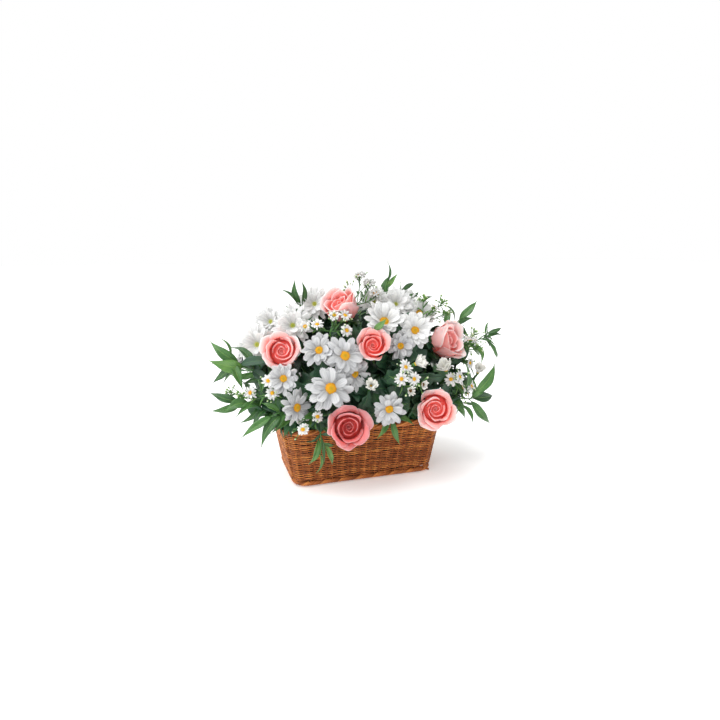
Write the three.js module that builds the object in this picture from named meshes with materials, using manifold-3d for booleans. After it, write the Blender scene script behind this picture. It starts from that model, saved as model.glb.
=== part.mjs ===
// A basket arrangement: a flared wicker basket holding a block of wet foam, with roses, daisies,
// asters and leafy sprigs pushed into the foam so that they make a low dome.
// Millimetres, +Z up. The origin is the middle of the basket's foot, on the surface it stands on.
// +X runs along the basket, and -Y is its front.
import * as THREE from "three";
import { mergeVertices } from "three/addons/utils/BufferGeometryUtils.js";
import Module from "manifold-3d";

const wasm = await Module();
wasm.setup();

// ---------- Driving dimensions ----------
const GAP = 0.35; // clearance between pieces that touch
const BASKET_CLEARANCE = 1; // clearance between the basket's side and the leaves over it
const WELD = 1e-3; // vertices closer than this are one

// The basket's outline in plan is a rounded rectangle that grows from the foot to the rim.
const FOOT_PLAN = { length: 199, width: 120, corner: 19 };
const RIM_PLAN = { length: 230, width: 146, corner: 28 };
const BASKET_HEIGHT = 84;
const WALL = 4.5;
const FOOT_HEIGHT = 8;
const FOOT_INSET = 5; // the foot's lowest edge tucks in this far
const RIM_HEIGHT = 8;
const RIM_PROUD = 2; // how far the rim stands out from the wall
const RIM_TUCK = 1; // how far it stands in from it
const FOOT_PROUD = 0.5;
const FOOT_SLOPE = 0.6; // the foot slopes out up to this share of its height
const FLOOR_THICKNESS = 4;

const LINER_WALL = 1;
const LINER_TOP = 80;
const FOAM_TOP = 102; // the foam stands above the rim, so stems can enter from the side
const FOAM_SHOULDER = 8;

const STEM_SIDES = 4;
const STEM_STEPS = 2;
const ROSE_STEM = 5; // stem diameters
const DAISY_STEM = 3.2;
const ASTER_STEM = 2;
const SPRIG_STEM = 2.4;
const STEM_DEPTH = 26; // how far below the foam's top a stem ends
const FOAM_SPREAD = 0.42; // a stem enters the foam at this share of its flower's distance from the middle
const FOAM_REACH = 34; // and no farther than this from the foam's long middle line
const STEM_BEND = 0.25; // how far down its length a stem runs straight back from its flower
const BRANCH_BEND = 0.3;
const ROSE_NECK = 1.3; // where a rose's stem starts behind its face, as a share of its radius

const ROSE_SEGMENTS = 10;
// The bloom's outline from its calyx to its heart, as shares of its radius.
const ROSE_PROFILE = [[0, -1.45], [0.5, -1.25], [0.9, -0.55], [1, -0.12], [0.72, 0.04], [0, 0.1]];
const ROSE_WIDEST = -0.2;
const DAISY_PETALS = 9;
const DAISY_THICKNESS = 2;
const NOTCH = 0.74; // how far out the notches between petals reach
const ASTER_SEGMENTS = 6;
const DAISY_CROWN = 3; // the yellow disc's height above the petals
const DAISY_CALYX = 4; // the green cup's depth below them
const LEAST_REACH = 0.4; // how far out the petals of an upright flower still stand
const ASTER_CROWN = 2.5;
const ASTER_CALYX = 3;
const LEAF_THICKNESS = 1.6;
const LEAF_WIDEST = 0.4; // how far along a leaf its widest point is
const LEAF_BACK = 30; // leaves that start behind this line show their face to the back

const ROSE_COLOUR = 0xde7171;
const DAISY_COLOUR = 0xf2f2ee;
const ASTER_COLOUR = 0xeeeede;
const LEAF_COLOUR = 0x3d6a37;
const REED_COLOUR = 0xa86b3c;
const LINER_COLOUR = 0x2b3b2b;
const FOAM_COLOUR = 0x2f5a3a;

// ---------- Where each flower sits ----------
// at: the middle of the flower's face. aim: the way it faces, as degrees round from the front
// towards +X, and degrees up. across: its diameter.
const ROSES = [
  { name: "rose_left", at: [-112, -58, 188], aim: [-18, 22], across: 57 },
  { name: "rose_top", at: [-30, -38, 243], aim: [-58, 50], across: 57 },
  { name: "rose_centre", at: [-2, -93, 195], aim: [-12, 25], across: 49 },
  { name: "rose_right", at: [128, -44, 185], aim: [34, 20], across: 60 },
  { name: "rose_front", at: [-42, -120, 99], aim: [-8, 8], across: 63 },
  { name: "rose_corner", at: [79, -110, 108], aim: [-16, 8], across: 61 },
];

// A stem with one flower has no fork. One with several branches at fork.
// open: 1 is a flat flower, and 0 is one whose petals still stand up like a cup.
const DAISIES = [
  { name: "daisy_front_centre", heads: [{ at: [-62, -110, 148], aim: [-6, 16], across: 61, open: 1 }] },
  { name: "daisy_upper_centre", heads: [{ at: [-40, -96, 184], aim: [-4, 24], across: 55, open: 1 }] },
  { name: "daisy_inner_left", heads: [{ at: [-69, -82, 190], aim: [-26, 32], across: 48, open: 0.9 }] },
  { name: "daisy_left_small", heads: [{ at: [-114, -80, 157], aim: [-20, 12], across: 44, open: 0.8 }] },
  { name: "daisy_front_left", heads: [{ at: [-102, -98, 124], aim: [32, 8], across: 50, open: 1 }] },
  { name: "daisy_front_right", heads: [{ at: [10, -120, 118], aim: [-12, 4], across: 46, open: 1 }] },
  { name: "daisy_right", heads: [{ at: [63, -72, 207], aim: [-8, 26], across: 54, open: 0.75 }] },
  { name: "daisy_top_right", heads: [{ at: [22, -66, 220], aim: [-10, 36], across: 60, open: 0.6 }] },
  { name: "daisy_upper_left", heads: [{ at: [-92, -32, 215], aim: [-22, 26], across: 60, open: 0.78 }] },
  { name: "daisy_top_left", heads: [{ at: [-54, 6, 238], aim: [-24, 22], across: 56, open: 0.85 }] },
  { name: "daisy_inner_front", heads: [{ at: [-28, -98, 161], aim: [20, 8], across: 46, open: 1 }] },
  { name: "daisy_inner_right", heads: [{ at: [38, -84, 190], aim: [-4, 8], across: 42, open: 0.9 }] },
  {
    name: "half_open_daisy_right",
    heads: [{ at: [104, -84, 154], aim: [-50, 46], across: 34, open: 0.25 }],
  },
  {
    name: "half_open_daisy_centre",
    heads: [{ at: [52, -102, 169], aim: [62, 26], across: 30, open: 0.25 }],
  },
  {
    name: "half_open_daisy_far_right",
    heads: [{ at: [176, -44, 137], aim: [-10, 50], across: 30, open: 0.2 }],
  },
  {
    name: "half_open_daisy_front",
    heads: [{ at: [-12, -114, 148], aim: [-10, 30], across: 24, open: 0.3 }],
  },
  {
    name: "daisy_spray_far_left",
    fork: [-78, 0, 158],
    heads: [
      { at: [-136, -8, 188], aim: [-34, 18], across: 62, open: 0.85 },
      { at: [-114, 12, 215], aim: [-36, 26], across: 52, open: 0.8 },
      { at: [-148, 40, 172], aim: [-100, 22], across: 48, open: 0.9 },
    ],
  },
  {
    name: "daisy_spray_top_back",
    fork: [52, 0, 178],
    heads: [
      { at: [58, -14, 236], aim: [-10, 28], across: 54, open: 0.7 },
      { at: [92, -18, 222], aim: [4, 26], across: 52, open: 0.75 },
      { at: [28, -8, 240], aim: [-20, 26], across: 46, open: 0.75 },
      { at: [78, 4, 238], aim: [6, 40], across: 48, open: 0.7 },
      { at: [88, 36, 220], aim: [110, 50], across: 48, open: 0.9 },
    ],
  },
  {
    name: "daisy_spray_right_side",
    fork: [92, 14, 146],
    heads: [
      { at: [150, 24, 176], aim: [80, 30], across: 50, open: 0.9 },
      { at: [148, 50, 142], aim: [105, 14], across: 46, open: 0.9 },
    ],
  },
  {
    name: "daisy_spray_back_top",
    fork: [-18, 36, 176],
    heads: [
      { at: [-14, 56, 226], aim: [175, 70], across: 52, open: 0.9 },
      { at: [-56, 68, 208], aim: [-150, 52], across: 50, open: 0.9 },
      { at: [34, 76, 212], aim: [165, 46], across: 52, open: 0.9 },
    ],
  },
  {
    name: "daisy_spray_back_left",
    fork: [-64, 52, 138],
    heads: [
      { at: [-104, 78, 188], aim: [-140, 32], across: 54, open: 0.9 },
      { at: [-126, 92, 146], aim: [-135, 12], across: 46, open: 1 },
    ],
  },
  {
    name: "daisy_spray_back_right",
    fork: [62, 52, 140],
    heads: [
      { at: [92, 84, 190], aim: [145, 32], across: 56, open: 0.9 },
      { at: [126, 88, 150], aim: [135, 14], across: 48, open: 1 },
    ],
  },
  {
    name: "daisy_spray_back_middle",
    fork: [0, 60, 136],
    heads: [
      { at: [-14, 104, 176], aim: [-175, 24], across: 56, open: 1 },
      { at: [36, 118, 146], aim: [170, 12], across: 50, open: 1 },
    ],
  },
  {
    name: "daisy_spray_back_low",
    fork: [-34, 60, 110],
    heads: [
      { at: [-72, 110, 134], aim: [-160, 12], across: 50, open: 1 },
      { at: [-38, 122, 114], aim: [-176, 4], across: 46, open: 1 },
    ],
  },
];

// Each spray is one branching stem. It forks at fork, and carries a small flower at each head.
const ASTER_ACROSS = 20;
const ASTERS = [
  {
    name: "aster_spray_top",
    fork: [-2, -22, 238],
    heads: [[7, -8, 278], [20, -12, 268], [-8, -4, 264], [26, -20, 254]],
  },
  {
    name: "aster_spray_upper_left",
    fork: [-50, -62, 210],
    heads: [[-44, -62, 230], [-31, -66, 230], [-33, -80, 213], [-66, -60, 219], [-80, -52, 216]],
  },
  {
    name: "aster_spray_left",
    fork: [-120, -66, 134],
    heads: [[-128, -78, 139], [-132, -74, 154], [-152, -50, 134], [-166, -44, 130], [-178, -34, 136]],
  },
  { name: "aster_spray_front_left", fork: [-88, -92, 108], heads: [[-97, -108, 99], [-78, -104, 112]] },
  {
    name: "aster_spray_centre",
    fork: [34, -92, 148],
    heads: [[36, -108, 167], [46, -112, 152], [28, -114, 154], [60, -108, 143], [40, -114, 138]],
  },
  {
    name: "aster_spray_right",
    fork: [124, -74, 130],
    heads: [[112, -84, 140], [138, -70, 124], [150, -64, 113], [158, -58, 120], [126, -82, 142]],
  },
  {
    name: "aster_spray_far_right",
    fork: [150, -30, 176],
    heads: [[173, -36, 196], [163, -42, 186], [176, -28, 182], [182, -34, 170], [164, -40, 150]],
  },
  {
    name: "aster_spray_upper_right",
    fork: [92, -32, 214],
    heads: [[97, -20, 246], [128, -20, 240], [112, -26, 232], [72, -78, 200], [136, -14, 224]],
  },
  {
    name: "aster_spray_back_left",
    fork: [-54, 76, 164],
    heads: [[-62, 100, 180], [-48, 104, 194], [-78, 98, 168], [-92, 96, 120]],
  },
  {
    name: "aster_spray_back_right",
    fork: [62, 80, 160],
    heads: [[70, 106, 170], [56, 100, 196], [84, 112, 130], [122, 60, 186]],
  },
];

// Each sprig is one stem along its path, with leaves as [share of the stem, tip, width].
const SPRIGS = [
  {
    name: "foliage_left_high",
    path: [[-60, -20, 98], [-110, -36, 142], [-172, -28, 172]],
    leaves: [
      [0.9, [-197, -18, 198], 14], [0.85, [-200, -36, 176], 17], [1, [-160, -44, 138], 12],
      [0.95, [-198, -26, 145], 11], [0.97, [-184, -30, 204], 4], [0.7, [-140, -58, 136], 13],
      [0.6, [-136, -10, 166], 14], [0.75, [-172, -6, 190], 12],
    ],
  },
  {
    name: "foliage_left_low",
    path: [[-64, -26, 92], [-116, -54, 118], [-164, -44, 120]],
    leaves: [
      [1, [-201, -34, 135], 12], [0.95, [-202, -42, 112], 10], [0.85, [-186, -56, 114], 14],
      [0.7, [-172, -62, 108], 10], [0.6, [-155, -70, 95], 10], [0.72, [-158, -26, 146], 12],
      [0.45, [-126, -84, 108], 12],
    ],
  },
  {
    name: "foliage_front_left",
    path: [[-66, -30, 92], [-98, -66, 112], [-124, -84, 114]],
    leaves: [
      [1, [-171, -90, 92], 11], [0.85, [-147, -100, 80], 13], [0.7, [-92, -104, 112], 11],
      [0.9, [-140, -70, 126], 11],
    ],
  },
  {
    name: "foliage_front",
    path: [[-44, -34, 96], [-72, -84, 112], [-72, -97, 80]],
    leaves: [
      [0.45, [-101, -106, 108], 9], [0.85, [-86, -92, 43], 9], [1, [-78, -93, 32], 4],
      [1, [-55, -95, 42], 8], [0.7, [-60, -104, 84], 8],
    ],
  },
  {
    name: "foliage_front_right",
    path: [[12, -34, 96], [16, -70, 104], [22, -92, 98]],
    leaves: [
      [0.9, [3, -100, 73], 9], [1, [34, -98, 61], 9], [0.8, [54, -98, 86], 11],
      [0.7, [-8, -100, 96], 11], [0.6, [44, -96, 116], 12],
    ],
  },
  {
    name: "foliage_right_low",
    path: [[62, -28, 94], [116, -56, 108], [158, -56, 101]],
    leaves: [
      [1, [207, -40, 147], 15], [0.8, [144, -66, 158], 13], [1, [201, -50, 102], 15],
      [0.97, [195, -58, 60], 13], [0.8, [154, -76, 71], 7], [0.6, [138, -80, 96], 12],
      [0.75, [162, -34, 134], 13], [0.5, [118, -86, 122], 11],
    ],
  },
  {
    name: "foliage_right",
    path: [[64, -12, 98], [124, -16, 140], [201, -12, 184]],
    leaves: [
      [0.98, [234, -8, 195], 7], [0.93, [232, -14, 184], 7], [1, [231, -10, 144], 9],
      [0.9, [197, -20, 142], 8], [0.6, [188, -24, 176], 10], [0.7, [158, -36, 150], 10],
      [0.85, [214, 14, 150], 12], [0.6, [150, 18, 140], 12], [0.62, [186, -24, 124], 12],
    ],
  },
  {
    name: "foliage_right_high",
    path: [[56, -8, 100], [116, -6, 160], [157, -10, 206]],
    leaves: [
      [1, [188, -10, 238], 12], [0.97, [134, -12, 234], 8], [1, [171, -18, 184], 7],
      [0.8, [160, 14, 226], 10], [0.7, [148, 16, 186], 12], [0.92, [188, -2, 210], 8],
    ],
  },
  {
    name: "foliage_top",
    path: [[20, -2, 100], [42, 0, 190], [50, 3, 256]],
    leaves: [
      [1, [52, 0, 294], 4], [0.9, [56, 4, 277], 13], [0.99, [65, 0, 279], 7],
      [0.9, [97, 8, 263], 7], [0.85, [105, 10, 251], 6], [0.8, [127, 12, 242], 4],
      [0.8, [34, 18, 262], 10], [0.75, [76, 28, 252], 10],
    ],
  },
  {
    name: "foliage_top_left",
    path: [[-24, 4, 100], [-52, 8, 180], [-74, 2, 236]],
    leaves: [
      [1, [-82, 0, 272], 9], [0.97, [-71, 1, 270], 8], [1, [-102, -2, 260], 4],
      [0.92, [-97, -6, 239], 6], [0.8, [-94, 22, 226], 10],
    ],
  },
  {
    name: "foliage_back_left",
    path: [[-56, 24, 98], [-112, 64, 128], [-140, 78, 134]],
    leaves: [
      [1, [-190, 92, 150], 14], [0.95, [-176, 106, 116], 13], [0.85, [-138, 118, 126], 13],
      [0.8, [-166, 58, 158], 12], [0.6, [-104, 104, 108], 13], [0.7, [-150, 56, 118], 12],
      [0.55, [-128, 82, 82], 13], [0.45, [-92, 102, 84], 13], [0.5, [-146, 34, 92], 12],
    ],
  },
  {
    name: "foliage_back",
    path: [[0, 30, 98], [2, 82, 118], [2, 106, 112]],
    leaves: [
      [1, [-6, 134, 74], 12], [0.95, [34, 130, 84], 13], [0.9, [-36, 130, 92], 13],
      [0.7, [38, 116, 126], 12], [0.65, [-36, 112, 128], 12], [0.5, [-66, 106, 90], 13],
      [0.5, [68, 106, 92], 13], [0.85, [10, 128, 96], 12],
    ],
  },
  {
    name: "foliage_back_right",
    path: [[56, 24, 98], [112, 60, 132], [142, 74, 140]],
    leaves: [
      [1, [196, 88, 160], 14], [0.95, [184, 104, 122], 13], [0.85, [140, 118, 132], 13],
      [0.8, [172, 54, 166], 12], [0.6, [106, 104, 110], 13], [0.7, [156, 52, 120], 12],
      [0.55, [130, 80, 84], 13], [0.45, [94, 102, 82], 13], [0.5, [148, 36, 94], 12],
    ],
  },
];

// ---------- Solids ----------
function toSolid(geometry) {
  const bare = geometry.clone();
  bare.deleteAttribute("normal");
  bare.deleteAttribute("uv");
  const merged = mergeVertices(bare, WELD);
  const made = new wasm.Manifold(
    new wasm.Mesh({
      numProp: 3,
      vertProperties: merged.attributes.position.array,
      triVerts: new Uint32Array(merged.index.array),
    }),
  );
  return made;
}

function toGeometry(solid) {
  const mesh = solid.getMesh();
  const geometry = new THREE.BufferGeometry();
  geometry.setAttribute("position", new THREE.BufferAttribute(new Float32Array(mesh.vertProperties), 3));
  geometry.setIndex(new THREE.BufferAttribute(new Uint32Array(mesh.triVerts), 1));
  const flat = geometry.toNonIndexed();
  flat.computeVertexNormals();
  return flat;
}

function join(solids) {
  return solids.reduce((whole, next) => whole.add(next));
}

// A cut can leave crumbs, or two bodies that meet at one point and part when vertices are welded.
function largestBody(solid) {
  const pick = (whole) =>
    whole.decompose().reduce((best, next) => (next.volume() > best.volume() ? next : best));
  return pick(toSolid(toGeometry(pick(solid))));
}

function boxesMeet(a, b) {
  const p = a.boundingBox();
  const q = b.boundingBox();
  return [0, 1, 2].every((i) => p.min[i] < q.max[i] && q.min[i] < p.max[i]);
}

function centreOf(points) {
  return points.reduce((sum, p) => sum.add(p), new THREE.Vector3()).divideScalar(points.length);
}

// Rows of points, each a closed loop of the same count, joined into one closed surface.
// A tube's rows close on themselves. A block's first and last rows are capped instead, by a fan
// round the row's middle.
function loft(rows, isTube) {
  const count = rows[0].length;
  const positions = rows.flat().flatMap((p) => [p.x, p.y, p.z]);
  const faces = [];
  const last = isTube ? rows.length : rows.length - 1;
  for (let i = 0; i < last; i++) {
    for (let j = 0; j < count; j++) {
      const here = i * count;
      const above = ((i + 1) % rows.length) * count;
      const next = (j + 1) % count;
      faces.push(here + j, here + next, above + next);
      faces.push(here + j, above + next, above + j);
    }
  }
  if (!isTube) {
    for (const [row, turn] of [[0, -1], [rows.length - 1, 1]]) {
      const middle = rows[row].middle ?? centreOf(rows[row]);
      const centre = positions.length / 3;
      positions.push(middle.x, middle.y, middle.z);
      for (let j = 0; j < count; j++) {
        const a = row * count + j;
        const b = row * count + ((j + 1) % count);
        faces.push(centre, turn > 0 ? a : b, turn > 0 ? b : a);
      }
    }
  }
  const geometry = new THREE.BufferGeometry();
  geometry.setAttribute("position", new THREE.Float32BufferAttribute(positions, 3));
  geometry.setIndex(faces);
  return geometry;
}

// ---------- The basket ----------
const CORNER_STEPS = 5;

// The plan's size at height z, moved outwards by grow.
function planAt(z, grow) {
  const share = z / BASKET_HEIGHT;
  const between = (key) => FOOT_PLAN[key] + (RIM_PLAN[key] - FOOT_PLAN[key]) * share;
  return {
    halfLength: between("length") / 2 + grow,
    halfWidth: between("width") / 2 + grow,
    corner: Math.max(between("corner") + grow, 4),
  };
}

function planRow(z, grow) {
  const { halfLength, halfWidth, corner } = planAt(z, grow);
  const row = [];
  for (const [quarter, sx, sy] of [[0, 1, 1], [1, -1, 1], [2, -1, -1], [3, 1, -1]]) {
    for (let k = 0; k <= CORNER_STEPS; k++) {
      const angle = ((quarter + k / CORNER_STEPS) * Math.PI) / 2;
      row.push(
        new THREE.Vector3(
          sx * (halfLength - corner) + corner * Math.cos(angle),
          sy * (halfWidth - corner) + corner * Math.sin(angle),
          z,
        ),
      );
    }
  }
  return row;
}

// A ring round the basket. Its section is a list of [distance out from the plan, height].
function ring(section) {
  return loft(section.map(([out, z]) => planRow(z, out)), true);
}

function block(section) {
  return loft(section.map(([out, z]) => planRow(z, out)), false);
}

function basketWall() {
  const low = FOOT_HEIGHT + GAP;
  const high = BASKET_HEIGHT - RIM_HEIGHT - GAP;
  return ring([[0, low], [0, high], [-WALL, high], [-WALL, low]]);
}

function basketFoot() {
  return ring([
    [-FOOT_INSET, 0],
    [-1, FOOT_HEIGHT * FOOT_SLOPE],
    [FOOT_PROUD, FOOT_HEIGHT],
    [-WALL, FOOT_HEIGHT],
    [-WALL - FOOT_INSET, 0],
  ]);
}

function basketRim() {
  const low = BASKET_HEIGHT - RIM_HEIGHT;
  const middle = BASKET_HEIGHT - RIM_HEIGHT / 2;
  return ring([
    [0, low],
    [RIM_PROUD, middle],
    [RIM_PROUD * 0.5, BASKET_HEIGHT],
    [-WALL, BASKET_HEIGHT],
    [-WALL - RIM_TUCK, middle],
    [-WALL, low],
  ]);
}

function basketFloor() {
  const inset = -WALL - FOOT_INSET - GAP;
  return block([[inset, 0], [inset, FLOOR_THICKNESS]]);
}

const LINER_OUT = -WALL - RIM_TUCK - GAP;
const LINER_LOW = FOOT_HEIGHT + GAP;

function liner() {
  const inner = LINER_OUT - LINER_WALL;
  const shell = toSolid(block([[LINER_OUT, LINER_LOW], [LINER_OUT, LINER_TOP]]));
  const hollow = toSolid(block([[inner, LINER_LOW + LINER_WALL], [inner, LINER_TOP + 1]]));
  return shell.subtract(hollow);
}

function foam() {
  const side = LINER_OUT - LINER_WALL - GAP;
  const flare = (RIM_PLAN.width - FOOT_PLAN.width) / 2 / BASKET_HEIGHT;
  const upright = side - flare * (FOAM_TOP - LINER_TOP);
  return toSolid(
    block([
      [side, LINER_LOW + LINER_WALL + GAP],
      [side, LINER_TOP],
      [upright - FOAM_SHOULDER, FOAM_TOP - FOAM_SHOULDER],
      [upright - 3 * FOAM_SHOULDER, FOAM_TOP],
    ]),
  );
}

// ---------- Stems, flowers and leaves ----------
// Each maker takes grow, which swells the piece by that much so that it can cut its neighbours.
function vector(point) {
  return new THREE.Vector3(...point);
}

function facing([round, up]) {
  const a = THREE.MathUtils.degToRad(round);
  const b = THREE.MathUtils.degToRad(up);
  return new THREE.Vector3(Math.sin(a) * Math.cos(b), -Math.cos(a) * Math.cos(b), Math.sin(b));
}

// Moves a geometry that faces +Z at the origin to a flower's place and aim.
function turnTo(geometry, at, direction) {
  const turn = new THREE.Quaternion().setFromUnitVectors(new THREE.Vector3(0, 0, 1), direction);
  return geometry.applyQuaternion(turn).translate(at.x, at.y, at.z);
}

function tube(points, diameter, grow) {
  const outline = new THREE.Shape();
  outline.setFromPoints(
    Array.from({ length: STEM_SIDES }, (_, k) => {
      const angle = (2 * Math.PI * k) / STEM_SIDES;
      return new THREE.Vector2(Math.cos(angle), Math.sin(angle)).multiplyScalar(diameter / 2 + grow);
    }),
  );
  const isCurved = points.length === 3;
  const extrudePath = isCurved ? new THREE.QuadraticBezierCurve3(...points) : new THREE.LineCurve3(...points);
  const steps = isCurved ? STEM_STEPS : 1;
  return toSolid(new THREE.ExtrudeGeometry(outline, { steps, extrudePath, bevelEnabled: false }));
}

// Where a flower's stem ends inside the foam: lower flowers enter nearer the foam's side.
function stemEnd(at) {
  const share = FOAM_SPREAD * THREE.MathUtils.clamp(1.5 - at.z / 220, 0.4, 0.9);
  const y = THREE.MathUtils.clamp(at.y * share, -FOAM_REACH, FOAM_REACH);
  return new THREE.Vector3(at.x * FOAM_SPREAD, y, FOAM_TOP - STEM_DEPTH);
}

function flowerStem(at, direction, depth, diameter, grow) {
  const top = at.clone().addScaledVector(direction, -depth);
  const end = stemEnd(at);
  const bend = top.clone().addScaledVector(direction, -STEM_BEND * top.distanceTo(end));
  return tube([top, bend, end], diameter, grow);
}

function rose({ at, aim, across }, grow) {
  const radius = across / 2;
  const points = ROSE_PROFILE.map(([r, z]) => {
    const swell = r === 0 ? 0 : grow;
    return new THREE.Vector2(r * radius + swell, z * radius + (z < ROSE_WIDEST ? -grow : grow));
  });
  const direction = facing(aim);
  const place = vector(at);
  const bloom = toSolid(
    turnTo(new THREE.LatheGeometry(points, ROSE_SEGMENTS).rotateX(Math.PI / 2), place, direction),
  );
  return bloom.add(flowerStem(place, direction, ROSE_NECK * radius, ROSE_STEM, grow));
}

function daisyHead({ at, aim, across, open }, grow) {
  const radius = across / 2 + grow;
  const lift = (1 - open) * radius;
  const reach = Math.max(Math.sqrt(open * (2 - open)), LEAST_REACH) * radius;
  const half = DAISY_THICKNESS / 2 + grow;
  const face = (height, middle) => {
    const row = Array.from({ length: 2 * DAISY_PETALS }, (_, k) => {
      const angle = (Math.PI * k) / DAISY_PETALS;
      const out = (k % 2 ? NOTCH : 1) * reach;
      return new THREE.Vector3(out * Math.cos(angle), out * Math.sin(angle), height + lift);
    });
    row.middle = new THREE.Vector3(0, 0, middle);
    return row;
  };
  const flower = loft([face(-half, -DAISY_CALYX - grow), face(half, DAISY_CROWN + grow)], false);
  return toSolid(turnTo(flower, vector(at), facing(aim)));
}

// A stem from the flower's back to the fork, or straight into the foam.
function daisy({ fork, heads }, grow) {
  const flowers = heads.map((head) => daisyHead(head, grow));
  if (!fork) {
    const [{ at, aim }] = heads;
    return join([...flowers, flowerStem(vector(at), facing(aim), 1, DAISY_STEM, grow)]);
  }
  const knot = vector(fork);
  const stems = heads.map(({ at, aim }) => {
    const top = vector(at).addScaledVector(facing(aim), -1);
    const bend = top.clone().addScaledVector(facing(aim), -BRANCH_BEND * top.distanceTo(knot));
    return tube([top, bend, knot], DAISY_STEM, grow);
  });
  const foot = tube([knot, stemEnd(knot)], DAISY_STEM, grow);
  return join([...flowers, ...stems, joint(knot, DAISY_STEM, grow), foot]);
}

// The swelling where a stem forks.
function joint(at, diameter, grow) {
  return toSolid(new THREE.OctahedronGeometry(diameter + grow, 0).translate(at.x, at.y, at.z));
}

function asterSpray({ fork, heads }, grow) {
  const knot = vector(fork);
  const radius = ASTER_ACROSS / 2 + grow;
  const section = [[0, -ASTER_CALYX - grow], [radius, 0], [0, ASTER_CROWN + grow]];
  const profile = section.map(([r, z]) => new THREE.Vector2(r, z));
  const parts = [tube([knot, stemEnd(knot)], ASTER_STEM, grow), joint(knot, ASTER_STEM, grow)];
  for (const head of heads) {
    const at = vector(head);
    const direction = at.clone().sub(knot).normalize();
    const flower = new THREE.LatheGeometry(profile, ASTER_SEGMENTS).rotateX(Math.PI / 2);
    parts.push(tube([knot, at], ASTER_STEM, grow), toSolid(turnTo(flower, at, direction)));
  }
  return join(parts);
}

function leaf(base, tip, width, grow) {
  const along = tip.clone().sub(base);
  const length = along.length() + grow;
  const half = width / 2 + grow;
  const profile = [[0, -grow], [1, LEAF_WIDEST * length], [0, length]];
  const points = profile.map(([r, z]) => new THREE.Vector2(r * half, z));
  const blade = new THREE.LatheGeometry(points, 4).rotateX(Math.PI / 2);
  blade.scale(1, (LEAF_THICKNESS / 2 + grow) / half, 1);
  const forward = along.normalize();
  const outward = new THREE.Vector3(0, base.y > LEAF_BACK ? 0.8 : -0.8, 0.6);
  const across = outward.cross(forward).normalize();
  const upward = forward.clone().cross(across).normalize();
  const frame = new THREE.Matrix4().makeBasis(across, upward, forward).setPosition(base);
  return toSolid(blade.applyMatrix4(frame));
}

function sprig({ path, leaves }, grow) {
  const points = path.map(vector);
  const curve = new THREE.QuadraticBezierCurve3(...points);
  const inFoam = stemEnd(points[0]);
  const parts = [tube(points, SPRIG_STEM, grow), tube([points[0], inFoam], SPRIG_STEM, grow)];
  for (const [share, tip, width] of leaves) {
    parts.push(leaf(curve.getPoint(share), vector(tip), width, grow));
  }
  return join(parts);
}

// ---------- The arrangement ----------
const arrangement = new THREE.Group();

function material(color, roughness) {
  return new THREE.MeshStandardMaterial({ color, roughness, metalness: 0 });
}

function place(group, name, geometry, color, roughness, at = [0, 0, 0]) {
  const mesh = new THREE.Mesh(geometry.translate(-at[0], -at[1], -at[2]), material(color, roughness));
  mesh.name = name;
  mesh.position.set(...at);
  group.add(mesh);
}

const basket = new THREE.Group();
arrangement.add(basket);
place(basket, "basket_floor", basketFloor(), REED_COLOUR, 0.6);
place(basket, "basket_foot", basketFoot(), REED_COLOUR, 0.6);
place(basket, "basket_wall", basketWall(), REED_COLOUR, 0.6);
place(basket, "basket_rim", basketRim(), REED_COLOUR, 0.6);
place(basket, "liner", toGeometry(liner()), LINER_COLOUR, 0.4);

// Flowers that stand in front keep their whole shape, and each later piece is cut clear of them.
const outside = RIM_PROUD + BASKET_CLEARANCE;
const inside = -WALL - RIM_TUCK - BASKET_CLEARANCE;
const above = BASKET_HEIGHT + BASKET_CLEARANCE;
const standing = [toSolid(ring([[outside, 0], [outside, above], [inside, above], [inside, 0]]))];
const planted = new THREE.Group();
arrangement.add(planted);

function plant(specs, maker, anchor, color, roughness) {
  for (const spec of specs) {
    const neighbours = standing.filter((other) => boxesMeet(other, maker(spec, 0)));
    const cleared = neighbours.reduce((piece, other) => piece.subtract(other), maker(spec, 0));
    place(planted, spec.name, toGeometry(largestBody(cleared)), color, roughness, anchor(spec));
    standing.push(maker(spec, GAP));
  }
}

plant(ROSES, rose, (spec) => spec.at, ROSE_COLOUR, 0.55);
plant(DAISIES, daisy, (spec) => spec.heads[0].at, DAISY_COLOUR, 0.5);
plant(ASTERS, asterSpray, (spec) => spec.fork, ASTER_COLOUR, 0.5);
plant(SPRIGS, sprig, (spec) => spec.path[0], LEAF_COLOUR, 0.45);

const drilled = standing.slice(1).reduce((rest, stem) => rest.subtract(stem), foam());
place(basket, "floral_foam", toGeometry(largestBody(drilled)), FOAM_COLOUR, 0.9);

export default arrangement;
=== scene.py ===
"""Looks for the flower basket arrangement: petals, leaves, stems and woven reed round the frame.

Sizes below are in millimetres, and every mesh is written in metres in the frame's own axes:
+X along the basket, -Y its front, +Z up. Each flower, spray, sprig and border stands for the
solid of the same name, and sits at the same place.
"""

import math

import bpy
import numpy as np
from mathutils import Matrix


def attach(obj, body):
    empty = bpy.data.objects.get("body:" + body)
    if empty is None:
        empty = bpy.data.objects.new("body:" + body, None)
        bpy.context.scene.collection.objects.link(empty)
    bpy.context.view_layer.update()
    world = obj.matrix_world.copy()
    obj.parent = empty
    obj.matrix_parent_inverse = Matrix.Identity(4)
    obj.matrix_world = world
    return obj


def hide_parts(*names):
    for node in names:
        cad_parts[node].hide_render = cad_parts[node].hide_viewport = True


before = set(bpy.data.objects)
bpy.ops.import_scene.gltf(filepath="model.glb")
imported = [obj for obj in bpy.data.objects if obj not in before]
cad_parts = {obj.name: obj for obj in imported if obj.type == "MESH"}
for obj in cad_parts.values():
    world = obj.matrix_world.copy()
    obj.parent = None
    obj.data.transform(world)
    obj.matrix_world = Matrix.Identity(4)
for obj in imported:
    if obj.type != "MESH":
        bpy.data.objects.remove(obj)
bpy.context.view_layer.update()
MM = 0.001
BODY = "root"
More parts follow.
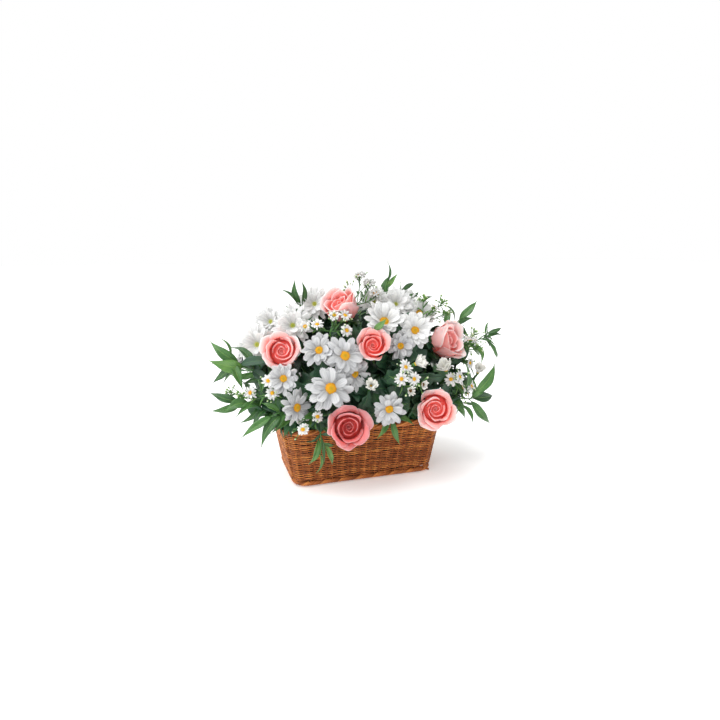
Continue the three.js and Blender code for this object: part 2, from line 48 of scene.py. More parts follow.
chance = np.random.default_rng(11)

# Driving dimensions
FOOT_PLAN = (199.0, 120.0, 19.0)  # length, width and corner radius of the basket at the table
RIM_PLAN = (230.0, 146.0, 28.0)  # the same at the rim
BASKET_HEIGHT = 84.0
FOOT_HEIGHT = 8.0
FOOT_INSET = 5.0
RIM_HEIGHT = 8.0
WALL = 4.5
FOAM_TOP = 102.0
STEM_DEPTH = 26.0
FOAM_SPREAD = 0.42

STAKE_COUNT = 40
STAKE_RADIUS = 1.5
COURSE_PITCH = 1.4  # height from one course of reed to the next
REED_RADIUS = 0.90
REED_SWING = 1.5  # how far a reed swings in and out as it passes the stakes

ROSE_STEM = 5.0
DAISY_STEM = 3.2
ASTER_STEM = 1.6
SPRIG_STEM = 2.2
ASTER_ACROSS = 20.0
ASTER_EYE = 2.9  # the radius of its yellow middle
PETAL_THICKNESS = 0.35
LEAF_THICKNESS = 0.4
LEAF_BACK = 30.0  # leaves that start further back than this face backwards

CAMERA_AT = (-222.0, -735.0, 320.0)
CAMERA_TURN = 17.5  # degrees to the right of +Y
CAMERA_DOWN = 12.0
CAMERA_LENS = 27.5
SENSOR = 36.0

# Where each flower sits: the middle of its face, the way it faces as degrees round from the
# front towards +X and degrees up, and its diameter. A rose also has its turn about its own axis,
# how pale it is (partly its own colour and partly painted light), how pointed and how closed
# it is, how far it leans to one side and how much it winds.
ROSE_KEYS = ("name", "at", "aim", "across", "roll", "pale", "pointed", "closed", "skew", "swirl")
ROSES = [
    ("rose_left", (-112, -58, 188), (-18, 22), 57, 20, 0.5, 1.3, 0.5, 0.15, 0.75),
    ("rose_top", (-30, -38, 243), (-58, 50), 57, 80, 0.9, 1.5, 1.3, 0.15, 0.75),
    ("rose_centre", (-2, -93, 195), (-12, 25), 49, 150, 0.1, 1.0, 0.5, 0.15, 0.75),
    ("rose_right", (128, -44, 185), (34, 20), 60, 170, 1.3, 1.2, 1.5, 0.15, 0.75),
    ("rose_front", (-42, -120, 99), (-8, 8), 63, 265, 0.2, 1.2, 0.1, 0.2, 0.35),
    ("rose_corner", (79, -110, 108), (-16, 8), 61, 330, 0.3, 1.4, 0.3, 0.15, 0.75),
]
DEEP_ROSE = "rose_front"
LEAF_OVER = {"rose_centre": ((1, -86, 213), (16, -90, 227))}  # a leaf's base and tip above it


def one(name, at, aim, across, opening, centre="gold"):
    """A daisy alone on its stem. The others stand on a branching stem: its fork, then its heads."""
    return name, None, [(at, aim, across, opening, centre)]


DAISIES = [
    one("daisy_front_centre", (-62, -110, 148), (-6, 16), 61, 1),
    one("daisy_upper_centre", (-40, -96, 184), (-4, 24), 55, 1),
    one("daisy_inner_left", (-69, -82, 190), (-26, 32), 48, 0.9),
    one("daisy_left_small", (-114, -80, 157), (-20, 12), 44, 0.8),
    one("daisy_front_left", (-102, -98, 124), (32, 8), 50, 1),
    one("daisy_front_right", (10, -120, 118), (-12, 4), 46, 1),
    one("daisy_right", (63, -72, 207), (-8, 26), 54, 0.75),
    one("daisy_top_right", (22, -66, 220), (-10, 36), 60, 0.6),
    one("daisy_upper_left", (-92, -32, 215), (-22, 26), 60, 0.78, "green"),
    one("daisy_top_left", (-54, 6, 238), (-24, 22), 56, 0.85, "green"),
    one("daisy_inner_front", (-28, -98, 161), (20, 8), 46, 1),
    one("daisy_inner_right", (38, -84, 190), (-4, 8), 42, 0.9),
    one("half_open_daisy_right", (104, -84, 154), (-50, 46), 34, 0.25),
    one("half_open_daisy_centre", (52, -102, 169), (62, 26), 30, 0.25),
    one("half_open_daisy_far_right", (176, -44, 137), (-10, 50), 30, 0.2),
    one("half_open_daisy_front", (-12, -114, 148), (-10, 30), 24, 0.3),
    ("daisy_spray_far_left", (-78, 0, 158), [
        ((-136, -8, 188), (-34, 18), 62, 0.85, "green"),
        ((-114, 12, 215), (-36, 26), 52, 0.8, "green"),
        ((-148, 40, 172), (-100, 22), 48, 0.9, "gold"),
    ]),
    ("daisy_spray_top_back", (52, 0, 178), [
        ((58, -14, 236), (-10, 28), 54, 0.7, "green"),
        ((92, -18, 222), (4, 26), 52, 0.75, "gold"),
        ((28, -8, 240), (-20, 26), 46, 0.75, "green"),
        ((78, 4, 238), (6, 40), 48, 0.7, "green"),
        ((88, 36, 220), (110, 50), 48, 0.9, "gold"),
    ]),
    ("daisy_spray_right_side", (92, 14, 146), [
        ((150, 24, 176), (80, 30), 50, 0.9, "gold"),
        ((148, 50, 142), (105, 14), 46, 0.9, "gold"),
    ]),
    ("daisy_spray_back_top", (-18, 36, 176), [
        ((-14, 56, 226), (175, 70), 52, 0.9, "gold"),
        ((-56, 68, 208), (-150, 52), 50, 0.9, "gold"),
        ((34, 76, 212), (165, 46), 52, 0.9, "gold"),
    ]),
    ("daisy_spray_back_left", (-64, 52, 138), [
        ((-104, 78, 188), (-140, 32), 54, 0.9, "gold"),
        ((-126, 92, 146), (-135, 12), 46, 1, "gold"),
    ]),
    ("daisy_spray_back_right", (62, 52, 140), [
        ((92, 84, 190), (145, 32), 56, 0.9, "gold"),
        ((126, 88, 150), (135, 14), 48, 1, "gold"),
    ]),
    ("daisy_spray_back_middle", (0, 60, 136), [
        ((-14, 104, 176), (-175, 24), 56, 1, "gold"),
        ((36, 118, 146), (170, 12), 50, 1, "gold"),
    ]),
    ("daisy_spray_back_low", (-34, 60, 110), [
        ((-72, 110, 134), (-160, 12), 50, 1, "gold"),
        ((-38, 122, 114), (-176, 4), 46, 1, "gold"),
    ]),
]
# Each aster spray: the fork of its stem, and its small flowers or clusters of buds
ASTERS = {
    "aster_spray_top": ((-2, -22, 238), [
        (7, -8, 278), (20, -12, 268), (-8, -4, 264), (26, -20, 254),
    ]),
    "aster_spray_upper_left": ((-50, -62, 210), [
        (-44, -62, 230), (-31, -66, 230), (-33, -80, 213), (-66, -60, 219), (-80, -52, 216),
    ]),
    "aster_spray_left": ((-120, -66, 134), [
        (-128, -78, 139), (-132, -74, 154), (-152, -50, 134), (-166, -44, 130), (-178, -34, 136),
    ]),
    "aster_spray_front_left": ((-88, -92, 108), [(-97, -108, 99), (-78, -104, 112)]),
    "aster_spray_centre": ((34, -92, 148), [
        (36, -108, 167), (46, -112, 152), (28, -114, 154), (60, -108, 143), (40, -114, 138),
    ]),
    "aster_spray_right": ((124, -74, 130), [
        (112, -84, 140), (138, -70, 124), (150, -64, 113), (158, -58, 120), (126, -82, 142),
    ]),
    "aster_spray_far_right": ((150, -30, 176), [
        (173, -36, 196), (163, -42, 186), (176, -28, 182), (182, -34, 170), (164, -40, 150),
    ]),
    "aster_spray_upper_right": ((92, -32, 214), [
        (97, -20, 246), (128, -20, 240), (112, -26, 232), (72, -78, 200), (136, -14, 224),
    ]),
    "aster_spray_back_left": ((-54, 76, 164), [
        (-62, 100, 180), (-48, 104, 194), (-78, 98, 168), (-92, 96, 120),
    ]),
    "aster_spray_back_right": ((62, 80, 160), [
        (70, 106, 170), (56, 100, 196), (84, 112, 130), (122, 60, 186),
    ]),
}
# Which of their heads are past their best, turned up to the sky, or still in bud
FADED_HEADS = {"aster_spray_centre": (3, 4)}
UPWARD_HEADS = {"aster_spray_top": (0, 1, 3), "aster_spray_far_right": (1,)}
BUD_HEADS = {
    "aster_spray_top": (2,),
    "aster_spray_left": (3, 4),
    "aster_spray_far_right": (0, 3),
    "aster_spray_upper_right": (0, 1, 4),
    "aster_spray_back_left": (3,),
}
# Each sprig: the stem's path, and its leaves as share of the stem, tip and width
SPRIGS = {
    "foliage_left_high": ([(-60, -20, 98), (-110, -36, 142), (-172, -28, 172)], [
        (0.9, (-197, -18, 198), 14), (0.85, (-200, -36, 176), 17), (1, (-160, -44, 138), 12),
        (0.95, (-198, -26, 145), 11), (0.97, (-184, -30, 204), 4), (0.7, (-140, -58, 136), 13),
        (0.6, (-136, -10, 166), 14), (0.75, (-172, -6, 190), 12),
    ]),
    "foliage_left_low": ([(-64, -26, 92), (-116, -54, 118), (-164, -44, 120)], [
        (1, (-201, -34, 135), 12), (0.95, (-202, -42, 112), 10), (0.85, (-186, -56, 114), 14),
        (0.7, (-172, -62, 108), 10), (0.6, (-155, -70, 95), 10), (0.72, (-158, -26, 146), 12),
        (0.45, (-126, -84, 108), 12),
    ]),
    "foliage_front_left": ([(-66, -30, 92), (-98, -66, 112), (-124, -84, 114)], [
        (1, (-171, -90, 92), 11), (0.85, (-147, -100, 80), 13), (0.7, (-92, -104, 112), 11),
        (0.9, (-140, -70, 126), 11),
    ]),
    "foliage_front": ([(-44, -34, 96), (-72, -84, 112), (-72, -97, 80)], [
        (0.45, (-101, -106, 108), 9), (0.85, (-86, -92, 43), 9), (1, (-78, -93, 32), 4),
        (1, (-55, -95, 42), 8), (0.7, (-60, -104, 84), 8),
    ]),
    "foliage_front_right": ([(12, -34, 96), (16, -70, 104), (22, -92, 98)], [
        (0.9, (3, -100, 73), 9), (1, (34, -98, 61), 9), (0.8, (54, -98, 86), 11),
        (0.7, (-8, -100, 96), 11), (0.6, (44, -96, 116), 12),
    ]),
    "foliage_right_low": ([(62, -28, 94), (116, -56, 108), (158, -56, 101)], [
        (1, (207, -40, 147), 15), (0.8, (144, -66, 158), 13), (1, (201, -50, 102), 15),
        (0.97, (195, -58, 60), 13), (0.8, (154, -76, 71), 7), (0.6, (138, -80, 96), 12),
        (0.75, (162, -34, 134), 13), (0.5, (118, -86, 122), 11),
    ]),
    "foliage_right": ([(64, -12, 98), (124, -16, 140), (201, -12, 184)], [
        (0.98, (234, -8, 195), 7), (0.93, (232, -14, 184), 7), (1, (231, -10, 144), 9),
        (0.9, (197, -20, 142), 8), (0.6, (188, -24, 176), 10), (0.7, (158, -36, 150), 10),
        (0.85, (214, 14, 150), 12), (0.6, (150, 18, 140), 12), (0.62, (186, -24, 124), 12),
    ]),
    "foliage_right_high": ([(56, -8, 100), (116, -6, 160), (157, -10, 206)], [
        (1, (188, -10, 238), 12), (0.97, (134, -12, 234), 8), (1, (171, -18, 184), 7),
        (0.8, (160, 14, 226), 10), (0.7, (148, 16, 186), 12), (0.92, (188, -2, 210), 8),
    ]),
    "foliage_top": ([(20, -2, 100), (42, 0, 190), (50, 3, 256)], [
        (1, (52, 0, 294), 4), (0.9, (56, 4, 277), 13), (0.99, (65, 0, 279), 7),
        (0.9, (97, 8, 263), 7), (0.85, (105, 10, 251), 6), (0.8, (127, 12, 242), 4),
        (0.8, (34, 18, 262), 10), (0.75, (76, 28, 252), 10),
    ]),
    "foliage_top_left": ([(-24, 4, 100), (-52, 8, 180), (-74, 2, 236)], [
        (1, (-82, 0, 272), 9), (0.97, (-71, 1, 270), 8), (1, (-102, -2, 260), 4),
        (0.92, (-97, -6, 239), 6), (0.8, (-94, 22, 226), 10),
    ]),
    "foliage_back_left": ([(-56, 24, 98), (-112, 64, 128), (-140, 78, 134)], [
        (1, (-190, 92, 150), 14), (0.95, (-176, 106, 116), 13), (0.85, (-138, 118, 126), 13),
        (0.8, (-166, 58, 158), 12), (0.6, (-104, 104, 108), 13), (0.7, (-150, 56, 118), 12),
        (0.55, (-128, 82, 82), 13), (0.45, (-92, 102, 84), 13), (0.5, (-146, 34, 92), 12),
    ]),
    "foliage_back": ([(0, 30, 98), (2, 82, 118), (2, 106, 112)], [
        (1, (-6, 134, 74), 12), (0.95, (34, 130, 84), 13), (0.9, (-36, 130, 92), 13),
        (0.7, (38, 116, 126), 12), (0.65, (-36, 112, 128), 12), (0.5, (-66, 106, 90), 13),
        (0.5, (68, 106, 92), 13), (0.85, (10, 128, 96), 12),
    ]),
    "foliage_back_right": ([(56, 24, 98), (112, 60, 132), (142, 74, 140)], [
        (1, (196, 88, 160), 14), (0.95, (184, 104, 122), 13), (0.85, (140, 118, 132), 13),
        (0.8, (172, 54, 166), 12), (0.6, (106, 104, 110), 13), (0.7, (156, 52, 120), 12),
        (0.55, (130, 80, 84), 13), (0.45, (94, 102, 82), 13), (0.5, (148, 36, 94), 12),
    ]),
}


# ---- Vectors, paths and draws ----
def vec(v):
    return np.asarray(v, float)


def unit(v):
    v = vec(v)
    return v / np.linalg.norm(v, axis=-1, keepdims=True)


def square_to(a, b):
    """The direction square to both."""
    return unit(np.cross(a, b))


def draw(low=0.0, high=1.0, count=None):
    return chance.uniform(low, high, count)


def shake(amount):
    """A push in a random direction."""
    return amount * chance.normal(size=3)


def facing(aim):
    """The direction of a flower that faces round degrees from the front and up degrees."""
    around, up = np.radians(aim)
    return vec([math.sin(around) * math.cos(up), -math.cos(around) * math.cos(up), math.sin(up)])


def basis(forward):
    """Three columns x, y, z with z along forward and y as near to straight up as it can be."""
    z = unit(forward)
    hint = vec([0, 0, 1] if abs(z[2]) <= 0.97 else [1, 0, 0])
    x = square_to(hint, z)
    return np.stack([x, np.cross(z, x), z], axis=1)


def bent(t, a, b, c):
    """A quadratic path from a to c by way of b, at t."""
    return a * (1 - t) ** 2 + b * 2 * t * (1 - t) + c * t * t


def bezier(points, count):
    """A straight or quadratic path through its control points, as count points."""
    t = np.linspace(0, 1, count)[:, None]
    p = [vec(q) for q in points]
    return p[0] * (1 - t) + p[1] * t if len(p) == 2 else bent(t, *p)


def smooth(low, high, x):
    t = np.clip((x - low) / (high - low), 0, 1)
    return t * t * (3 - 2 * t)


# ---- Mesh building ----
class Shape:
    """Gathers patches for one piece. Each vertex has a grain: its share along the petal, leaf or
    reed, its place across it from -1 to 1, and a number drawn for the whole patch."""

    def __init__(self):
        self.points, self.quads, self.slots, self.grain, self.materials = [], [], [], [], []
        self.count = 0

    def add(self, points, quads, grain, material):
        """Points n x 3 in millimetres, quads m x 4, grain n x 3."""
        if material not in self.materials:
            self.materials.append(material)
        self.points.append(points)
        self.quads.append(quads + self.count)
        self.grain.append(grain)
        self.slots.append(np.full(len(quads), self.materials.index(material), np.int32))
        self.count += len(points)

    def sheet(self, lattice, thickness, material, number):
        """A thin closed sheet over a rows x columns lattice of points."""
        rows, cols = lattice.shape[:2]
        normal = np.cross(np.gradient(lattice, axis=1), np.gradient(lattice, axis=0))
        normal /= np.maximum(np.linalg.norm(normal, axis=2, keepdims=True), 1e-9)
        half = normal * thickness / 2
        loop = np.concatenate([lattice + half, (lattice - half)[:, ::-1]], axis=1)
        across = np.linspace(-1, 1, cols)
        across = np.concatenate([across, across[::-1]])
        first = np.arange(cols - 1)
        cap = np.stack([first, first + 1, 2 * cols - 2 - first, 2 * cols - 1 - first], axis=1)
        last = cap + (rows - 1) * 2 * cols
        quads = np.concatenate([lattice_quads(rows, 2 * cols), cap[:, ::-1], last])
        self.add(loop.reshape(-1, 3), quads, grained(rows, 2 * cols, across, number), material)

    def barrel(self, rings, ends, across, number, material):
        """A closed surface over rows of rings, drawn together at each end to a middle point."""
        rows, sides = rings.shape[:2]
        grain = grained(rows, sides, across, number)
        grain = np.concatenate([grain, grain[:1], grain[-1:]])
        quads = np.concatenate([lattice_quads(rows, sides), end_caps(rows, sides)])
        self.add(np.concatenate([rings.reshape(-1, 3), ends]), quads, grain, material)

    def tube(self, path, radii, material, number, sides=8, closed=False, across=None):
        """A tube along a path. radii is one radius, or one for each point, and across may give
        each point its second grain value, which otherwise goes round the tube."""
        path = vec(path)
        count = len(path)
        radii = np.broadcast_to(vec(radii), (count,))
        ahead = np.roll(path, -1, 0) - np.roll(path, 1, 0) if closed else np.gradient(path, axis=0)
        tangent = unit(ahead)
        side = carried(tangent)
        other = np.cross(tangent, side)
        angle = np.linspace(0, 2 * np.pi, sides, endpoint=False)
        c, s = np.cos(angle), np.sin(angle)
        ring = c[None, :, None] * side[:, None] + s[None, :, None] * other[:, None]
        rings = path[:, None] + ring * radii[:, None, None]
        across = c if across is None else vec(across)[:, None]
        if closed:
            grain = grained(count, sides, across, number)
            quads = lattice_quads(count, sides, closed=True)
            self.add(rings.reshape(-1, 3), quads, grain, material)
        else:
            self.barrel(rings, path[[0, -1]], across, number, material)

    def mesh_object(self, name, smooth_shading=True):
        """The object, in the scene, with its grain and its materials."""
        quads = np.concatenate(self.quads)
        mesh = bpy.data.meshes.new(name)
        mesh.vertices.add(self.count)
        points = np.concatenate(self.points) * MM
        mesh.vertices.foreach_set("co", points.astype(np.float32).ravel())
        sizes = np.where(quads[:, 2] == quads[:, 3], 3, 4)  # a triangle repeats its last corner
        corners = quads[np.arange(4)[None, :] < sizes[:, None]]
        mesh.loops.add(len(corners))
        mesh.loops.foreach_set("vertex_index", corners.astype(np.int32))
        mesh.polygons.add(len(quads))
        starts = np.concatenate([[0], np.cumsum(sizes)[:-1]])
        mesh.polygons.foreach_set("loop_start", starts.astype(np.int32))
        mesh.polygons.foreach_set("material_index", np.concatenate(self.slots))
        mesh.polygons.foreach_set("use_smooth", np.full(len(quads), smooth_shading))
        grain = mesh.attributes.new("grain", "FLOAT_VECTOR", "POINT")
        grain.data.foreach_set("vector", np.concatenate(self.grain).astype(np.float32).ravel())
        mesh.update()
        mesh.validate()
        for material in self.materials:
            mesh.materials.append(material)
        return put(name, mesh)

    def build(self, name, slot, replaces):
        """Makes the object, rides it on the frame and lets it stand for its CAD nodes."""
        piece = self.mesh_object(name)
        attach(piece, BODY)
        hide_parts(*replaces)


def put(name, data):
    """A new object with this data, in the scene."""
    made = bpy.data.objects.new(name, data)
    bpy.context.scene.collection.objects.link(made)
    return made


def grained(rows, cols, across, number):
    """The grain of a lattice whose rows run along the petal, leaf or reed."""
    grain = np.empty((rows, cols, 3))
    grain[..., 0] = np.linspace(0, 1, rows)[:, None]
    grain[..., 1] = across
    grain[..., 2] = number
    return grain.reshape(-1, 3)


def lattice_quads(rows, cols, closed=False):
    """Quads of a lattice whose columns wrap round, and whose rows may close."""
    i = np.arange(rows if closed else rows - 1)[:, None]
    j = np.arange(cols)[None, :]
    below, right = (i + 1) % rows, (j + 1) % cols
    corners = [i * cols + j, i * cols + right, below * cols + right, below * cols + j]
    return np.stack(corners, axis=2).reshape(-1, 4)


def end_caps(rows, sides):
    """Triangles from the first and last rings of a lattice to the two points that follow it."""
    j = np.arange(sides)
    following = (j + 1) % sides
    top = (rows - 1) * sides
    foot, crown = np.full(sides, rows * sides), np.full(sides, rows * sides + 1)
    low = np.stack([following, j, foot, foot], axis=1)
    return np.concatenate([low, np.stack([top + j, top + following, crown, crown], axis=1)])


def carried(tangent):
    """A side direction for each tangent, carried along the path without twisting."""
    now = vec([0, 0, 1] if abs(tangent[0][2]) <= 0.9 else [1, 0, 0])
    side = np.empty_like(tangent)
    for k, t in enumerate(tangent):
        now = now - t * np.dot(now, t)
        now = now / np.linalg.norm(now)
        side[k] = now
    return side


def revolve(shape, profile, turn, at, material, number, sides=16):
    """A closed surface round an axis. The profile is (radius, height) pairs from its foot up."""
    profile = vec(profile)
    angle = np.linspace(0, 2 * np.pi, sides, endpoint=False)
    ring = np.stack([np.cos(angle), np.sin(angle), 0 * angle], axis=1)
    axis = profile[:, 1:] * vec([0, 0, 1])
    rings = profile[:, :1, None] * ring + axis[:, None]
    ends = axis[[0, -1]] @ turn.T + at
    shape.barrel(rings @ turn.T + at, ends, np.cos(angle), number, material)


# ---- Materials ----
def arithmetic(operation, turned=False):
    """A method that makes the Math node for one of Python's signs."""

    def made(self, other):
        return self.look.maths(operation, *((other, self) if turned else (self, other)))

    return made


class Value:
    """A number in a material's node tree, for sums."""

    def __init__(self, look, socket):
        self.look, self.socket = look, socket

    __add__ = arithmetic("ADD")
    __sub__ = arithmetic("SUBTRACT")
    __rsub__ = arithmetic("SUBTRACT", turned=True)
    __mul__ = arithmetic("MULTIPLY")
    __pow__ = arithmetic("POWER")


class Look:
    """A procedural material: one Principled shader fed by the grain and by noise."""

    def __init__(self, name, **constants):
        self.material = bpy.data.materials.new(name)
        self.material.use_nodes = True
        self.tree = self.material.node_tree
        self.shader = self.tree.nodes["Principled BSDF"]
        for key, value in constants.items():
            self.shader.inputs[key.replace("_", " ")].default_value = value
        grain = self.node("ShaderNodeAttribute", attribute_name="grain")
        split = self.node("ShaderNodeSeparateXYZ")
        self.link(grain.outputs["Vector"], split.inputs[0])
        self.along, self.across, self.number = (Value(self, part) for part in split.outputs)
        self.place = self.node("ShaderNodeTexCoord").outputs["Object"]

    def node(self, kind, **settings):
        made = self.tree.nodes.new(kind)
        for key, value in settings.items():
            setattr(made, key, value)
        return made

    def link(self, source, target):
        """Feeds a socket from a constant, a value or another socket."""
        if isinstance(source, (int, float, tuple)):
            target.default_value = source
        else:
            self.tree.links.new(getattr(source, "socket", source), target)

    def maths(self, operation, a, b=0.0, clamp=False):
        made = self.node("ShaderNodeMath", operation=operation, use_clamp=clamp)
        self.link(a, made.inputs[0])
        self.link(b, made.inputs[1])
        return Value(self, made.outputs[0])

    def noise(self, vector, scale, detail=2.0, rough=0.5):
        made = self.node("ShaderNodeTexNoise")
        parts = (("Vector", vector), ("Scale", scale), ("Detail", detail), ("Roughness", rough))
        for key, value in parts:
            self.link(value, made.inputs[key])
        return Value(self, made.outputs["Fac"])

    def fibres(self, along, across):
        """Noise drawn out along the petal, leaf or reed, different on each."""
        drawn = self.node("ShaderNodeCombineXYZ")
        parts = (self.along * along, self.across * across, self.number * 37.0)
        for value, socket in zip(parts, drawn.inputs):
            self.link(value, socket)
        return self.noise(drawn.outputs[0], 1.0, 3.0)

    def ramp(self, factor, *stops):
        made = self.node("ShaderNodeValToRGB")
        self.link(factor, made.inputs["Fac"])
        places = made.color_ramp.elements
        while len(places) < len(stops):
            places.new(0.5)
        for element, (position, colour) in zip(places, stops):
            element.position = position
            element.color = (*colour, 1)
        return made.outputs["Color"]

    def mix(self, factor, a, b, blend="MIX"):
        made = self.node("ShaderNodeMix", data_type="RGBA", blend_type=blend)
        self.link(factor, made.inputs["Factor"])
        for value, socket in ((a, made.inputs[6]), (b, made.inputs[7])):
            self.link((*value, 1) if isinstance(value, tuple) else value, socket)
        return made.outputs[2]

    def finish(self, colour, height, strength, distance):
        """Gives the shader its colour and its bumps."""
        bump = self.node("ShaderNodeBump")
        parts = (("Height", height), ("Strength", strength), ("Distance", distance))
        for key, value in parts:
            self.link(value, bump.inputs[key])
        self.link(bump.outputs[0], self.shader.inputs["Normal"])
        self.link(colour, self.shader.inputs["Base Color"])
        return self.material


def rose_look(name, painted_glow, *stops):
    """Petals from the deep heart to the pale outer rims. The number is the petal's layer, with
    more on a paler rose, where the paleness is partly painted light. The emission is painted
    light, standing in for the light that seeps through from petal to petal."""
    look = Look(
        name, Roughness=0.55, Subsurface_Weight=0.6, Subsurface_Scale=0.005,
        Subsurface_Radius=(1.0, 0.35, 0.3), Specular_IOR_Level=0.2,
        Emission_Color=(1.0, 0.26, 0.22, 1), Emission_Strength=painted_glow,
    )
    veins = look.fibres(1.6, 4.0)
    clouds = look.noise(look.place, 60.0)
    rise = look.along**2.2 * (look.number * 0.22 + 0.10)
    # The thin pale band at each petal's rim is partly the petal's own paler edge, partly painted
    # highlight
    edge = look.along**22.0 * 0.26 + 0.15
    tone = look.number * 0.20 + rise + edge + (veins - 0.5) * 0.16 + (clouds - 0.5) * 0.2
    return look.finish(look.ramp(tone, *stops), veins, 0.12, 0.0005)


def daisy_look(name, base, tip, painted_glow=0.0):
    """Long white petals, a little green at the throat, with fine grooves. Painted shade greys
    them next to the eye and in the grooves, a painted highlight lifts their tips, and the
    emission is painted light that lifts petals out of shade.
    """
    look = Look(
        name, Roughness=0.5, Subsurface_Weight=0.4, Subsurface_Scale=0.003,
        Subsurface_Radius=(1.0, 1.0, 0.9), Specular_IOR_Level=0.25,
        Emission_Color=(1.0, 1.0, 0.96, 1), Emission_Strength=painted_glow,
    )
    grooves = look.fibres(1.2, 5.0)
    # Painted shade next to the eye and a painted highlight towards the tips
    throat, bright = (tuple(share * c for c in tip) for share in (0.80, 1.07))
    body = look.ramp(look.along, (0.0, base), (0.18, throat), (0.55, tip), (1.0, bright))
    # Painted shade in the grooves
    shade = look.ramp(grooves, (0.30, (0.72, 0.73, 0.77)), (0.62, (1.0, 1.0, 1.0)))
    return look.finish(look.mix(1.0, body, shade, "MULTIPLY"), grooves, 0.6, 0.0006)


def disc_look(name, centre, middle, rim):
    """The florets of a flower's eye. The number is how far out the floret stands."""
    look = Look(name, Roughness=0.7, Subsurface_Weight=0.1, Subsurface_Scale=0.001)
    grains = look.noise(look.place, 900.0)
    tone = look.number + (grains - 0.5) * 0.4
    colour = look.ramp(tone, (0.05, centre), (0.5, middle), (0.95, rim))
    return look.finish(colour, grains, 0.4, 0.0005)


def leaf_look(name, dark, mid, light, rough=0.3):
    """A leaf with a pale midrib and slanting side veins. The number sets how light the leaf is."""
    look = Look(
        name, Roughness=rough, Subsurface_Weight=0.06, Subsurface_Scale=0.0015,
        Subsurface_Radius=(0.3, 0.6, 0.2), Specular_IOR_Level=0.5,
    )
    out = look.maths("ABSOLUTE", look.across)
    slant = look.maths("SINE", (look.along * 11.0 - out * 3.0) * math.pi)
    side = look.maths("ABSOLUTE", slant) ** 0.35
    rib = look.maths("SUBTRACT", 1.0, out * 9.0, clamp=True)
    tone = look.number + (look.noise(look.place, 90.0, 4.0) - 0.5) * 0.6
    body = look.ramp(tone, (0.0, dark), (0.5, mid), (1.0, light))
    body = look.mix((1.0 - side) * 0.3, body, light)
    return look.finish(look.mix(rib * 0.5, body, light), side - rib * 0.8, 0.45, 0.0007)


REED_TONES = [
    (0.0, (0.012, 0.004, 0.002)),
    (0.22, (0.095, 0.023, 0.008)),
    (0.46, (0.44, 0.134, 0.035)),
    (0.77, (1.0, 0.43, 0.105)),
]


def reed_look(name, length_scale, painted_recess_shade):
    """Varnished reed: fibres along it, each reed its own tone. A woven reed's second grain value
    is 1 where it stands out over a stake and -1 where it passes behind. Painted shade darkens it
    where it passes behind, and painted light makes it a little lighter where it stands out."""
    look = Look(name, Roughness=0.48, Coat_Weight=0.05, Coat_Roughness=0.3, Specular_IOR_Level=0.2)
    fibres = look.fibres(length_scale, 3.0)
    streaks = look.noise(look.place, 38.0, 3.0)
    tone = look.number * 0.44 + fibres * 0.44 + (streaks - 0.5) * 0.14
    # Painted shade where the reed passes behind a stake, painted light where it stands out
    if painted_recess_shade:
        tone = tone + look.maths("MINIMUM", look.across, 0.0) * 0.44 + look.across * 0.08
    return look.finish(look.ramp(tone, *REED_TONES), fibres, 0.5, 0.0005)


def plain_look(name, dark, light, scale, rough, strength, **constants):
    """A soft mottled material for stems, foam, film and floor. A larger scale makes the mottling
    finer, and strength is how deep its bumps are."""
    look = Look(name, Roughness=rough, **constants)
    clouds = look.noise(look.place, scale, 5.0, 0.65)
    return look.finish(look.ramp(clouds, (0.3, dark), (0.7, light)), clouds, strength, 0.001)


# The first number of each rose look is its painted glow, an emission that lights its gaps
PINK = rose_look(
    "rose_petals", 0.03,
    (0.0, (0.92, 0.095, 0.070)), (0.28, (0.95, 0.200, 0.175)), (0.50, (0.97, 0.350, 0.335)),
    (0.72, (0.98, 0.48, 0.47)), (1.0, (0.99, 0.70, 0.68)),
)
DUSTY = rose_look(
    "dusty_rose_petals", 0.02,
    (0.0, (0.52, 0.030, 0.022)), (0.28, (0.62, 0.080, 0.072)), (0.50, (0.68, 0.17, 0.175)),
    (0.75, (0.75, 0.27, 0.28)), (1.0, (0.88, 0.52, 0.51)),
)
# The same white petals twice: painted darker for the lower daisies at the front, which sit in shade,
# and painted lighter, with more painted glow, for the higher ones in the light
SHADED_WHITE = daisy_look("daisy_petals", (0.42, 0.49, 0.26), (0.58, 0.585, 0.58))
LIT_WHITE = daisy_look("lit_daisy_petals", (0.62, 0.70, 0.39), (0.73, 0.73, 0.71), 0.09)
# The cream and aster petals carry a little painted glow, and the cream is painted lighter to lift
# shade
CREAM = daisy_look("cream_petals", (0.62, 0.64, 0.36), (0.87, 0.86, 0.78), 0.03)
SMALL = daisy_look("aster_petals", (0.60, 0.64, 0.38), (0.82, 0.82, 0.79), 0.08)
GOLD = disc_look("golden_florets", (0.55, 0.38, 0.020), (0.86, 0.48, 0.012), (0.78, 0.33, 0.012))
GREENISH = disc_look("green_florets", (0.36, 0.44, 0.05), (0.56, 0.58, 0.10), (0.80, 0.77, 0.30))
FADED = disc_look("faded_florets", (0.10, 0.05, 0.015), (0.20, 0.10, 0.03), (0.36, 0.20, 0.06))
BUDS = plain_look("bud_tips", (0.42, 0.52, 0.22), (0.80, 0.80, 0.66), 500.0, 0.5, 0.3)
FRESH = plain_look("fresh_green", (0.07, 0.20, 0.03), (0.20, 0.38, 0.08), 220.0, 0.5, 0.3)
LEAF = leaf_look("broad_leaves", (0.014, 0.066, 0.022), (0.058, 0.175, 0.038), (0.23, 0.42, 0.09))
